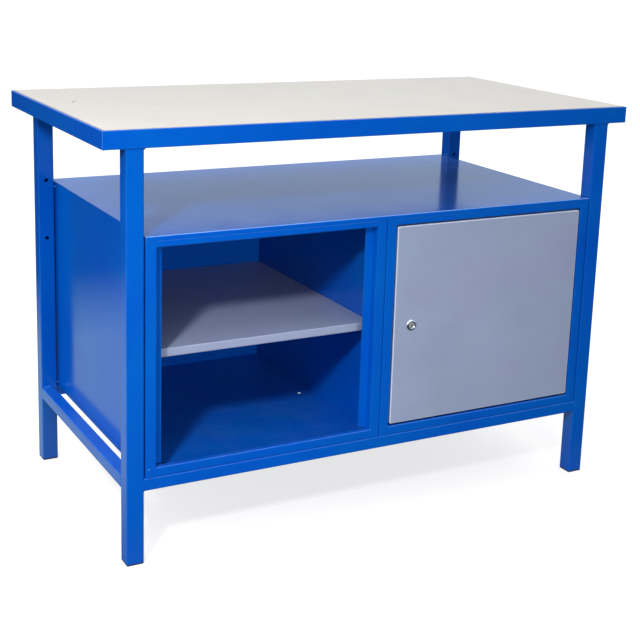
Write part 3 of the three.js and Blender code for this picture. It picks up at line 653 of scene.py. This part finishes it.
print("modelling helpers ready")

# %% [markdown]
# ## The door
#
# The door is a pan folded from one sheet: a face, four returns and narrow flanges turned in at the rear. It
# could be folded from a plane and thickened with Solidify, but where three folds meet at a corner Solidify
# throws spikes. So it is cut from a block instead. The block's corners and folds are rounded with bevels, a
# second block one sheet smaller hollows it, and a third opens the rear between the flanges. Round cutters
# then drill the lock's hole and the two holes for the hinge bushes. The folds round the face get the paler
# edge paint, which is partly a painted highlight along the folds.

# %% Blocks and cutters
NEAR = 0.01 * MM
HOLE_SIDES = 40
CORNER_SEGMENTS = 6


def add_block(low, high):
    """Adds a cube and stretches it to fill the box from its lowest to its highest corner."""
    bpy.ops.object.select_all(action="DESELECT")
    bpy.ops.mesh.primitive_cube_add(size=1, location=(low + high) / 2)
    block = bpy.context.object
    block.scale = high - low
    apply_place()
    return block


def round_edges(piece, rule, radius, segments):
    """Rounds those edges of the piece for which the rule holds."""
    pick(piece, "EDGE", rule)
    bpy.ops.mesh.bevel(offset=radius, segments=segments, affect="EDGES")
    bpy.ops.object.mode_set(mode="OBJECT")


def round_corners(block, radius):
    """Rounds the block's four edges that run from front to rear."""
    round_edges(block, lambda spots: abs(spots[0].y - spots[1].y) > NEAR, radius, CORNER_SEGMENTS)


def cut(piece, cutter, operation="DIFFERENCE"):
    """Cuts the piece with another object, or joins them, and removes that object."""
    apply_modifier(piece, "BOOLEAN", object=cutter, operation=operation, solver="EXACT")
    bpy.data.objects.remove(cutter)


def drill(piece, place, diameter, depth, axis):
    """Cuts a round hole through the piece, along the given axis."""
    turn = Vector((0, 0, 1)).rotation_difference(Vector(axis)).to_euler()
    bpy.ops.object.select_all(action="DESELECT")
    bpy.ops.mesh.primitive_cylinder_add(
        vertices=HOLE_SIDES,
        radius=diameter / 2,
        depth=depth,
        location=place,
        rotation=turn,
    )
    cut(piece, bpy.context.object)


print("block helpers ready")

# %% Door pan
DOOR_SHEET = 1.0 * MM
DOOR_FLANGE = 14 * MM
DOOR_CORNER = 4 * MM
DOOR_FOLD = 2.0 * MM
FOLD_SEGMENTS = 4
door_low, door_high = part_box("door_panel")
door = add_block(door_low, door_high)
round_corners(door, DOOR_CORNER)
round_edges(door, lambda spots: abs(spots[0].y - spots[1].y) < NEAR, DOOR_FOLD, FOLD_SEGMENTS)
sheet = Vector((DOOR_SHEET, DOOR_SHEET, DOOR_SHEET))
hollow = add_block(door_low + sheet, door_high - sheet)
round_corners(hollow, DOOR_CORNER - DOOR_SHEET)
cut(door, hollow)
flange = Vector((DOOR_FLANGE, DOOR_SHEET * 2, DOOR_FLANGE))
mouth = add_block(door_low + flange, door_high - flange + Vector((0, DOOR_FLANGE, 0)))
round_corners(mouth, DOOR_CORNER)
cut(door, mouth)
print("door pan hollowed:", len(door.data.polygons), "faces")

# %% Holes in the door
lock_low, lock_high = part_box("lock_body")
lock_axis = (lock_low + lock_high) / 2
LOCK_HOLE = 18.6 * MM
LOCK_HOLE_REACH = 6 * MM
BUSH_HOLE = 8.2 * MM
BUSH_HOLE_REACH = 8 * MM
SQUARE_NORMAL = 0.99
drill(door, (lock_axis.x, door_low.y, lock_axis.z), LOCK_HOLE, LOCK_HOLE_REACH, (0, 1, 0))
for bush, edge_height in (("hinge_bush_bottom", door_low.z), ("hinge_bush_top", door_high.z)):
    bush_low, bush_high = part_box(bush)
    bush_axis = (bush_low + bush_high) / 2
    drill(door, (bush_axis.x, bush_axis.y, edge_height), BUSH_HOLE, BUSH_HOLE_REACH, (0, 0, 1))
finish_piece(door, "door_pan", grey_paint, "door")
door.data.materials.append(grey_edge_and_highlight)
# The slanted faces of the front folds take the paler edge paint, partly as a painted highlight.
for face in door.data.polygons:
    slanted = max(abs(part) for part in face.normal) < SQUARE_NORMAL
    in_front = face.center.y < door_low.y + DOOR_FOLD
    if slanted and in_front:
        face.material_index = EDGE_SLOT
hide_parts("door_panel")

# %% [markdown]
# ## The lock's body
#
# A cam lock is turned on a lathe: a chrome bezel, a threaded barrel and a bore for the core. Blender's
# lathe is Spin. One point is extruded through the corners of the profile, and the line is spun a full turn
# about the lock's axis. The doubled seam is then merged and the normals are made to point outwards.

# %% Spinning a profile
SEAM_MERGE = 0.001 * MM


def spin_profile(points, centre, axis, steps):
    """Turns a line of (radius, distance along the axis) points into a solid of revolution."""
    along = Vector(axis)
    outward = Vector((1, 0, 0))
    places = [centre + outward * radius + along * distance for radius, distance in points]
    bpy.ops.object.select_all(action="DESELECT")
    bpy.ops.mesh.primitive_plane_add(size=MM, location=places[0])
    piece = bpy.context.object
    apply_place()
    bpy.ops.object.mode_set(mode="EDIT")
    bpy.ops.mesh.select_mode(type="VERT")
    bpy.ops.mesh.select_all(action="SELECT")
    bpy.ops.mesh.merge(type="CENTER")
    for here, there in zip(places, places[1:]):
        bpy.ops.mesh.extrude_vertices_move(TRANSFORM_OT_translate={"value": there - here})
    bpy.ops.mesh.select_all(action="SELECT")
    bpy.ops.mesh.spin(steps=steps, angle=math.tau, center=centre, axis=axis)
    bpy.ops.mesh.select_all(action="SELECT")
    bpy.ops.mesh.remove_doubles(threshold=SEAM_MERGE)
    bpy.ops.mesh.normals_make_consistent(inside=False)
    bpy.ops.object.mode_set(mode="OBJECT")
    return piece


def in_millimetres(points):
    return [(radius * MM, distance * MM) for radius, distance in points]


FORWARD = (0, -1, 0)
TURN_STEPS = 64
THREAD_PITCH = 1.25
THREAD_TURNS = 16
THREAD_START = -0.5
THREAD_CREST = 8.9
THREAD_ROOT = 8.25
lock_centre = Vector((lock_axis.x, door_low.y, lock_axis.z))
bezel = [(6.5, 2.6), (6.9, 3.0), (8.3, 3.0), (9.2, 2.86), (10.1, 2.5), (10.8, 2.0), (11.3, 1.35)]
bezel += [(11.5, 0.9), (11.5, 0.4), (11.4, 0.3), (9.0, 0.3)]
thread = []
for turn in range(THREAD_TURNS):
    crest = THREAD_START - turn * THREAD_PITCH
    root = THREAD_START - (turn + 0.5) * THREAD_PITCH
    thread += [(THREAD_CREST, crest), (THREAD_ROOT, root)]
barrel_end = [(8.2, -21.0), (8.2, -21.9), (6.5, -21.9), (6.5, 2.6)]
lock_body = spin_profile(in_millimetres(bezel + thread + barrel_end), lock_centre, FORWARD, TURN_STEPS)
finish_piece(lock_body, "lock_bezel_and_barrel", chrome, "door")
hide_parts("lock_body")

# %% [markdown]
# ## The lock's core
#
# The core turns inside the barrel and carries the keyway. It is spun too, then cut: the keyway's cutter is
# a cube whose upper half is pushed sideways, because a keyway is stepped so that only the right key enters.
# A square tail at the back drives the cam. The face is worn to a satin, and the inside of the keyway is
# painted black, as painted shade for the narrow slot.

# %% Lock core
KEYWAY_WIDTH = 2.2 * MM
KEYWAY_HALF_HEIGHT = 4 * MM
KEYWAY_DEPTH = 9 * MM
KEYWAY_STEP = 0.7 * MM
KEYWAY_STEP_RISE = 0.2 * MM
core_low, core_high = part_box("lock_core")
core_profile = [(0, 2.5), (5.7, 2.5), (6.1, 2.3), (6.2, 1.9), (6.2, -21.5), (5.8, -21.9), (0, -21.9)]
lock_core = spin_profile(in_millimetres(core_profile), lock_centre, FORWARD, TURN_STEPS)

reach = Vector((KEYWAY_WIDTH / 2, 0, KEYWAY_HALF_HEIGHT))
slot_front = lock_centre + Vector((0, core_low.y - lock_centre.y - MM, 0))
slot_rear = lock_centre + Vector((0, core_low.y - lock_centre.y + KEYWAY_DEPTH, 0))
keyway = add_block(slot_front - reach, Vector((0, 0, -KEYWAY_HALF_HEIGHT)) + slot_rear + reach)
pick(keyway, "FACE", lambda spots: all(spot.z > lock_centre.z - NEAR for spot in spots))
bpy.ops.mesh.extrude_region_move(TRANSFORM_OT_translate={"value": (KEYWAY_STEP, 0, KEYWAY_STEP_RISE)})
bpy.ops.mesh.extrude_region_move(TRANSFORM_OT_translate={"value": (0, 0, KEYWAY_HALF_HEIGHT)})
bpy.ops.object.mode_set(mode="OBJECT")
cut(lock_core, keyway)
print("keyway cut:", len(lock_core.data.polygons), "faces")

# %% Tail, bore and finish of the core
TAIL_HALF = 3.5 * MM
TAIL_LENGTH = 3 * MM
TAIL_EDGE = 0.4 * MM
SCREW_BORE = 4 * MM
SCREW_BORE_REACH = 20 * MM
KEYWAY_SHADE_SLOT = 1
KEYWAY_REACH = KEYWAY_HALF_HEIGHT * 1.3
tail_low = Vector((lock_centre.x - TAIL_HALF, core_high.y - TAIL_LENGTH, lock_centre.z - TAIL_HALF))
tail_high = Vector((lock_centre.x + TAIL_HALF, core_high.y, lock_centre.z + TAIL_HALF))
tail = add_block(tail_low, tail_high)
apply_modifier(tail, "BEVEL", width=TAIL_EDGE, segments=2, limit_method="ANGLE")
cut(lock_core, tail, "UNION")
drill(lock_core, (lock_centre.x, core_high.y, lock_centre.z), SCREW_BORE, SCREW_BORE_REACH, (0, 1, 0))
finish_piece(lock_core, "lock_plug", satin_chrome, "lock")
lock_core.data.materials.append(black_plastic)
# The faces inside the keyway take black as painted shade.
for face in lock_core.data.polygons:
    offset = face.center - lock_centre
    near_axis = math.hypot(offset.x, offset.z) < KEYWAY_REACH
    in_keyway = core_low.y + NEAR < face.center.y < core_low.y + KEYWAY_DEPTH + NEAR
    if near_axis and in_keyway:
        face.material_index = KEYWAY_SHADE_SLOT
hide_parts("lock_core")

# %% [markdown]
# ## Welds
#
# The frame is welded by hand, and under the paint each joint shows a rippled bead. A bead could be a bump
# in the material, but it stands proud and rounds the inner corners, so it is modelled: a small disc is
# extruded ripple by ripple and swelled a little each time. Two lengths are enough. The beads are copied to
# every joint, each copy turned about its own line so that no two look alike, and the beads of one leg are
# joined to one piece.

# %% One weld bead
BEAD_RADIUS = 8 * MM
BEAD_SIDES = 12
BEAD_END = 0.4
BEAD_SHOULDER = 0.82
RIPPLE_CREST = 1.0
RIPPLE_TROUGH = 0.95
RIPPLE_PITCH = 2.6 * MM
LEG_BEAD_LENGTH = 34.4 * MM
RAIL_BEAD_LENGTH = 21 * MM


def weld_bead(length):
    """Extrudes and swells a small disc, ripple by ripple, into one bead along X, centred on the origin."""
    bpy.ops.object.select_all(action="DESELECT")
    bpy.ops.mesh.primitive_circle_add(
        vertices=BEAD_SIDES,
        radius=BEAD_RADIUS * BEAD_END,
        fill_type="NGON",
        location=(-length / 2, 0, 0),
        rotation=(0, math.radians(90), 0),
    )
    bead = bpy.context.object
    apply_place()
    ripples = round(length / RIPPLE_PITCH)
    swell = [BEAD_SHOULDER] + [RIPPLE_CREST, RIPPLE_TROUGH] * ripples + [BEAD_SHOULDER, BEAD_END]
    step = length / len(swell)
    bpy.ops.object.mode_set(mode="EDIT")
    bpy.ops.mesh.select_all(action="SELECT")
    size = BEAD_END
    for number, wanted in enumerate(swell, 1):
        bpy.ops.mesh.extrude_region_move(TRANSFORM_OT_translate={"value": (step, 0, 0)})
        middle = (number * step - length / 2, 0, 0)
        bpy.ops.transform.resize(value=(1, wanted / size, wanted / size), center_override=middle)
        size = wanted
    bpy.ops.mesh.select_all(action="SELECT")
    bpy.ops.mesh.normals_make_consistent(inside=False)
    bpy.ops.object.mode_set(mode="OBJECT")
    apply_modifier(bead, "SUBSURF", levels=1, render_levels=1)
    return bead


leg_bead = weld_bead(LEG_BEAD_LENGTH)
rail_bead = weld_bead(RAIL_BEAD_LENGTH)
print("beads:", len(leg_bead.data.polygons), len(rail_bead.data.polygons), "faces")

# %% Beads at every joint of one leg
BEAD_SINK = 2.8 * MM
GROUND_GIRTH = 0.24
GROUND_SINK = 1.6 * MM
BEAD_TURN = 53
DIRECTIONS = {"x": Vector((1, 0, 0)), "y": Vector((0, 1, 0)), "z": Vector((0, 0, 1))}


def copy_mesh(pattern, matrix):
    """Copies a modelled pattern, with a mesh of its own, and moves that mesh by the matrix."""
    copy = pattern.copy()
    copy.data = pattern.data.copy()
    copy.data.transform(matrix)
    bpy.context.collection.objects.link(copy)
    return copy


def lay_bead(bead, along, place, number, girth):
    """Copies a bead, turns it to run along an axis, and puts its middle at a place."""
    spun = Matrix.Rotation(math.radians(BEAD_TURN * number), 4, "X")
    slimmed = Matrix.Diagonal((1, girth, girth, 1))
    turned = DIRECTIONS["x"].rotation_difference(DIRECTIONS[along]).to_matrix().to_4x4()
    return copy_mesh(bead, Matrix.Translation(place) @ turned @ slimmed @ spun)


def join(parts):
    """Joins several objects to one mesh."""
    make_active(parts[0])
    for part in parts:
        part.select_set(True)
    bpy.ops.object.join()
    return parts[0]


def leg_welds(end, side):
    """Lays the beads round the top of a leg and where the two rails meet it."""
    leg_low, leg_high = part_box(f"leg_{end}_{side}")
    rail_low, rail_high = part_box(f"rail_{end}")
    side_low, side_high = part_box(f"rail_{side}")
    band_low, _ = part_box(f"band_{end}")
    middle = (leg_low + leg_high) / 2
    inward_x = 1 if side == "left" else -1
    inward_y = 1 if end == "front" else -1
    outer_x, inner_x = (leg_low.x, leg_high.x) if side == "left" else (leg_high.x, leg_low.x)
    outer_y, inner_y = (leg_low.y, leg_high.y) if end == "front" else (leg_high.y, leg_low.y)
    joint_x = inner_x - inward_x * BEAD_SINK
    joint_y = inner_y - inward_y * BEAD_SINK
    beads = []

    def lay(bead, along, *place, girth=1.0):
        beads.append(lay_bead(bead, along, Vector(place), len(beads), girth))

    top = band_low.z + BEAD_SINK
    lay(leg_bead, "y", joint_x, middle.y, top)
    lay(leg_bead, "y", outer_x + inward_x * BEAD_SINK, middle.y, top)
    lay(leg_bead, "x", middle.x, joint_y, top)
    rail_y = (rail_low.y + rail_high.y) / 2
    rail_x = (side_low.x + side_high.x) / 2
    for height, lift in ((rail_low.z, BEAD_SINK), (rail_high.z, -BEAD_SINK)):
        lay(rail_bead, "y", joint_x, rail_y, height + lift)
        lay(rail_bead, "x", rail_x, joint_y, height + lift)
    rail_middle = (rail_low.z + rail_high.z) / 2
    rail_inner_y = rail_high.y if end == "front" else rail_low.y
    side_inner_x = side_high.x if side == "left" else side_low.x
    lay(rail_bead, "z", joint_x, rail_inner_y - inward_y * BEAD_SINK, rail_middle)
    lay(rail_bead, "z", side_inner_x - inward_x * BEAD_SINK, joint_y, rail_middle)
    ground_x = outer_x + inward_x * GROUND_SINK
    ground_y = outer_y + inward_y * GROUND_SINK
    lay(rail_bead, "z", inner_x - inward_x * MM, ground_y, rail_middle, girth=GROUND_GIRTH)
    lay(rail_bead, "z", ground_x, inner_y - inward_y * MM, rail_middle, girth=GROUND_GIRTH)
    finish_piece(join(beads), f"welds_{end}_{side}", blue_paint, "bench")


for end in ("front", "rear"):
    for side in ("left", "right"):
        leg_welds(end, side)
for pattern in (leg_bead, rail_bead):
    bpy.data.objects.remove(pattern)

# %% [markdown]
# ## Corners of the band
#
# The band's four angles are cut at 45 degrees, and the joints are welded and ground flush. What is left to
# see is a soft upright line at each corner. One small bar is rounded on its outer side, turned by 45
# degrees about the corner, and copied to the four corners. The bars take the paler edge paint, so the light
# line at each corner is partly a painted highlight.

# %% Ground corner welds
CORNER_LENGTH = 5.2 * MM
CORNER_WIDTH = 1.4 * MM
CORNER_INSET = 0.25 * MM
CORNER_ROUND = CORNER_WIDTH * 0.45
ROUND_SEGMENTS = 4
band_low, band_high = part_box("band_front")
corner_low = Vector((-CORNER_LENGTH / 2, -CORNER_WIDTH / 2, band_low.z + CORNER_INSET))
corner_high = Vector((CORNER_LENGTH / 2, CORNER_WIDTH / 2, band_high.z))
corner_bar = add_block(corner_low, corner_high)


def is_outer_upright(spots):
    return all(spot.x > 0 for spot in spots) and abs(spots[0].z - spots[1].z) > NEAR


round_edges(corner_bar, is_outer_upright, CORNER_ROUND, ROUND_SEGMENTS)
corner_bars = []
for angle, corner in ((45, (1, 1)), (135, (-1, 1)), (225, (-1, -1)), (315, (1, -1))):
    tip = Vector((corner[0] * cad_high.x, corner[1] * cad_high.y, 0))
    turned = Matrix.Rotation(math.radians(angle), 4, "Z")
    back = Matrix.Translation((-CORNER_LENGTH / 2 - CORNER_INSET, 0, 0))
    corner_bars.append(copy_mesh(corner_bar, Matrix.Translation(tip) @ turned @ back))
bpy.data.objects.remove(corner_bar)
# The corner bars take the paler edge paint, which is partly a painted highlight.
finish_piece(join(corner_bars), "band_corner_welds", blue_edge_and_highlight, "bench")

# %% [markdown]
# ## Tack welds
#
# A few single dabs of weld hold the sheet to the frame, and the photograph shows six of them as bright
# points: one low on the left stile, one beside the right end of the front rail, one under the stop lip at
# the right of the open cabinet, and three on the front of the rear left leg, two of which bridge the gap to
# the cabinet. Each is a flattened ball, cut off where it would lie inside the steel. The dabs take the paler
# edge paint, so their bright points are partly a painted highlight.

# %% Tack welds
TACK_RADIUS = 2.2 * MM
TACK_FLATTENING = (1, 0.45, 0.8)
TACK_BACK = 0.3 * MM
TACK_SEGMENTS = 20
TACK_RINGS = 12
TACK_PLACES = [(-510.5, -297, 192.2), (523.5, -296.4, 164.4), (-34, -277, 186)]
TACK_PLACES += [(-545.9, 262, 176.5), (-518.8, 262, 186), (-518.8, 262, 639)]
bpy.ops.object.select_all(action="DESELECT")
bpy.ops.mesh.primitive_uv_sphere_add(segments=TACK_SEGMENTS, ring_count=TACK_RINGS, radius=TACK_RADIUS)
tack = bpy.context.object
tack.scale = TACK_FLATTENING
apply_place()
bpy.ops.object.mode_set(mode="EDIT")
bpy.ops.mesh.select_all(action="SELECT")
bpy.ops.mesh.bisect(plane_co=(0, TACK_BACK, 0), plane_no=(0, 1, 0), use_fill=True, clear_outer=True)
bpy.ops.object.mode_set(mode="OBJECT")
tacks = [copy_mesh(tack, Matrix.Translation(Vector(place) * MM)) for place in TACK_PLACES]
bpy.data.objects.remove(tack)
# The tacks take the paler edge paint, which is partly a painted highlight.
finish_piece(join(tacks), "tack_welds", blue_edge_and_highlight, "bench")

# %% [markdown]
# ## Filled seams
#
# Where a sill or a head meets a stile, the joint is filled and painted over, so the front of each cabinet
# looks like one frame. A folded stile has a rounded edge there and would leave a groove. At the rear, the
# narrow gap between the two cabinets is filled as well, so that no light comes through. Each seam is a
# short bar that is stretched to its place, and the edges of its outer side are rounded off.

# %% Filled seams
SEAM_HALF = 2.6 * MM
SEAM_DEPTH = 3.0 * MM
SEAM_PROUD = 0.04 * MM
SEAM_ROUND = 2.1 * MM
GAP_SINK = 0.3 * MM
GAP_ROUND = 0.2 * MM


def fill_seam(low, high, outer, along, radius):
    """Adds a bar and rounds those edges of its outer side that run along one axis."""
    bar = add_block(low, high)

    def is_outer(spots):
        on_outer_side = all(abs(spot.y - outer) < NEAR for spot in spots)
        return on_outer_side and abs(spots[0][along] - spots[1][along]) > NEAR

    round_edges(bar, is_outer, radius, ROUND_SEGMENTS)
    return bar


LEVEL = 0
UPRIGHT = 2
deck_low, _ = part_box("deck")
fillers = []
for cabinet in ("left_cabinet", "right_cabinet"):
    sill_low, sill_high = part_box(f"{cabinet}_floor")
    head_low, head_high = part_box(f"{cabinet}_head")
    front = head_low.y - SEAM_PROUD
    for bottom, top in ((sill_low.z, sill_high.z), (head_low.z, deck_low.z + SEAM_ROUND)):
        for middle in (head_low.x, head_high.x):
            near_corner = Vector((middle - SEAM_HALF, front, bottom))
            far_corner = Vector((middle + SEAM_HALF, front + SEAM_DEPTH, top))
            fillers.append(fill_seam(near_corner, far_corner, front, LEVEL, SEAM_ROUND))
wall_low, wall_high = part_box("left_cabinet_right_side")
next_low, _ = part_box("right_cabinet_left_side")
rear = wall_high.y - GAP_SINK
gap_low = Vector((wall_high.x, rear - SEAM_DEPTH, wall_low.z))
gap_high = Vector((next_low.x, rear, wall_high.z))
fillers.append(fill_seam(gap_low, gap_high, rear, UPRIGHT, GAP_ROUND))
finish_piece(join(fillers), "filled_seams", blue_paint, "bench")

# %% [markdown]
# ## Board screws
#
# Four pan-head screws hold the board down on the cross bars, from below. The solid has a plain head, so a
# full screw is spun here, with a thread and a domed head, and two crossed blocks cut its recess.

# %% Board screws
DOWN = (0, 0, -1)
RECESS_LENGTH = 5.4 * MM
RECESS_WIDTH = 1.1 * MM
RECESS_DEPTH = 1.5 * MM
SCREW_PITCH = 1.8
SCREW_TURNS = 12
SCREW_STEPS = 28
SCREW_HEAD = 2.6
screw_profile = [(0, -24), (0.5, -23)]
for turn in range(SCREW_TURNS):
    screw_profile += [(1.6, -22.4 + turn * SCREW_PITCH), (2.25, -21.6 + turn * SCREW_PITCH)]
screw_profile += [(1.9, 0), (5.0, 0), (5.0, 0.5), (4.75, 1.1), (4.1, 1.8)]
screw_profile += [(2.9, 2.35), (1.4, 2.58), (0, SCREW_HEAD)]
screw_low, screw_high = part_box("board_screw_front_left")
seat = (screw_low + screw_high) / 2
seat.z = screw_low.z + SCREW_HEAD * MM
board_screw = spin_profile(in_millimetres(screw_profile), seat, DOWN, SCREW_STEPS)
head_face = Vector((seat.x, seat.y, screw_low.z))
for length, width in ((RECESS_LENGTH, RECESS_WIDTH), (RECESS_WIDTH, RECESS_LENGTH)):
    recess_low = head_face - Vector((length / 2, width / 2, MM))
    recess_high = head_face + Vector((length / 2, width / 2, RECESS_DEPTH))
    cut(board_screw, add_block(recess_low, recess_high))
for name in ("front_left", "front_right", "rear_left", "rear_right"):
    here_low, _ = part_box(f"board_screw_{name}")
    copy = copy_mesh(board_screw, Matrix.Translation(here_low - screw_low))
    finish_piece(copy, f"pan_head_screw_{name}", zinc, "bench")
    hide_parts(f"board_screw_{name}")
bpy.data.objects.remove(board_screw)

# %% [markdown]
# ## The floor and the light
#
# The photograph is a product picture: a white ground, one soft lamp at the front left and even light from
# above and all round. The shadow of the worktop on the deck gives the lamp's height and side. The floor
# takes light as pale paper would. To the camera it adds light of its own, which makes it white but keeps
# the bench's shadow. In reflections it is bright in a wide strip beside and behind the bench and dark
# beyond it, as a strip of studio paper is: that is why the lower half of the bench's left end shines and
# the upper half stays deep blue.

# %% Floor
FLOOR_SIZE = 80
STRIP_FRONT = (-0.5, 0.15)
STRIP_REAR = (1.8, 1.1)
SHINE = (0.02, 0.64)
MIRRORED_PAPER = (0.75, 1.0, 0.95, 1)
LIT_PAPER = (0.15, 0.15, 0.15, 1)
SEEN_PAPER = (0.4, 0.4, 0.4, 1)
OWN_LIGHT = 0.7
WHITE = (1, 1, 1, 1)


def light_node(tree, kind, strength, colour=WHITE):
    """An emission or background whose strength is a number or another node's output."""
    return add_node(tree, kind, {"Color": colour, "Strength": strength}).outputs[0]


def mix(tree, factor, first, second):
    return add_node(tree, "ShaderNodeMixShader", {0: factor, 1: first, 2: second}).outputs[0]


def choose_by_ray(tree, lighting, mirrored, seen):
    """Uses one shader to light things, one in reflections, and one for the camera or through glass."""
    ray = add_node(tree, "ShaderNodeLightPath").outputs
    direct = combine(tree, "MAXIMUM", ray["Is Camera Ray"], ray["Is Transmission Ray"])
    return mix(tree, direct, mix(tree, ray["Is Glossy Ray"], lighting, mirrored), seen)


bpy.ops.object.select_all(action="DESELECT")
bpy.ops.mesh.primitive_plane_add(size=FLOOR_SIZE)
floor = bpy.context.object
floor.name = "studio_floor"
floor_material, paper, floor_shader = start_material("pale_studio_paper")
paper.nodes.remove(floor_shader)
across = add_node(paper, "ShaderNodeSeparateXYZ", {0: bench_place(paper)}).outputs["Y"]
strip = combine(paper, "MULTIPLY", remap(paper, across, *STRIP_FRONT), remap(paper, across, *STRIP_REAR))
shine = remap(paper, strip, 0.0, 1.0, *SHINE)
mirrored_paper = light_node(paper, "ShaderNodeEmission", shine, MIRRORED_PAPER)
lit_paper = add_node(paper, "ShaderNodeBsdfDiffuse", {"Color": LIT_PAPER}).outputs[0]
seen_paper = add_node(paper, "ShaderNodeBsdfDiffuse", {"Color": SEEN_PAPER}).outputs[0]
own_light = light_node(paper, "ShaderNodeEmission", OWN_LIGHT)
white_paper = add_node(paper, "ShaderNodeAddShader", {0: seen_paper, 1: own_light}).outputs[0]
surface = choose_by_ray(paper, lit_paper, mirrored_paper, white_paper)
paper.links.new(surface, paper.nodes["Material Output"].inputs["Surface"])
floor.data.materials.append(floor_material)
print("floor ready")

# %% [markdown]
# The world is white to the camera. In reflections it is evenly bright, with a brighter ceiling that draws a
# pale line along each bend that looks up. What falls on the bench from it is soft: strong from behind,
# where the white backdrop is lit, and weak from the front, with more added from above and from the left.

# %% World
BACK_RANGE = (-0.4, 0.2)
CEILING_RANGE = (0.6, 0.9)
AMBIENT_FRONT = 0.06
AMBIENT_BACK = 0.85
AMBIENT_OVERHEAD = 0.8
AMBIENT_LEFT = 0.65
MIRRORED_COLOUR = (0.57, 0.71, 0.95, 1)
MIRRORED_LEVEL = 1.0
MIRRORED_OVERHEAD = 4.0
BACKDROP_LEVEL = 1.0
world = bpy.data.worlds.new("studio")
bpy.context.scene.world = world
world.use_nodes = True
sky = world.node_tree
sky.nodes.clear()
spot = add_node(sky, "ShaderNodeTexCoord")
towards = add_node(sky, "ShaderNodeSeparateXYZ", {0: spot.outputs["Generated"]}).outputs
level = remap(sky, towards["Y"], *BACK_RANGE, AMBIENT_FRONT, AMBIENT_BACK)
level = combine(sky, "ADD", level, remap(sky, towards["Z"], 0.0, 1.0, 0.0, AMBIENT_OVERHEAD))
level = combine(sky, "ADD", level, remap(sky, towards["X"], 0.0, -1.0, 0.0, AMBIENT_LEFT))
ambient = light_node(sky, "ShaderNodeBackground", level)
ceiling = remap(sky, towards["Z"], *CEILING_RANGE, MIRRORED_LEVEL, MIRRORED_OVERHEAD)
mirrored = light_node(sky, "ShaderNodeBackground", ceiling, MIRRORED_COLOUR)
backdrop = light_node(sky, "ShaderNodeBackground", BACKDROP_LEVEL)
add_node(sky, "ShaderNodeOutputWorld", {"Surface": choose_by_ray(sky, ambient, mirrored, backdrop)})
print("world ready, ambient", AMBIENT_FRONT, "to", AMBIENT_BACK)

# %% [markdown]
# Two round lamps do the rest. The key lamp at the front left is small, so it draws the worktop's shadow on
# the deck. The fill lamp stands lower, in front of the bench, for the light of the whole room. It isn't
# mirrored: a room has no such bright disc in it, and the deck would show one in views from behind.

# %% Lamps
def add_lamp(name, place, target, size, power, spread, mirrored):
    """Adds a round lamp that faces its target. Its spread is in degrees, and reflections may leave it out."""
    bpy.ops.object.light_add(type="AREA", location=place)
    lamp = bpy.context.object
    lamp.name = name
    lamp.rotation_euler = (Vector(target) - Vector(place)).to_track_quat("-Z", "Y").to_euler()
    lamp.data.shape = "DISK"
    lamp.data.size = size
    lamp.data.energy = power
    lamp.data.spread = math.radians(spread)
    lamp.visible_glossy = mirrored
    print(name, power, "W at", place)


LEFT_CABINET = (-0.35, -0.25, 0.25)
KEY_PLACE = (-1.6, -1.65, 1.7)
FILL_PLACE = (-0.5, -2.7, 0.85)
add_lamp("key_lamp", KEY_PLACE, LEFT_CABINET, size=0.24, power=10.6, spread=100, mirrored=True)
add_lamp("fill_lamp", FILL_PLACE, LEFT_CABINET, size=0.7, power=11.6, spread=130, mirrored=False)
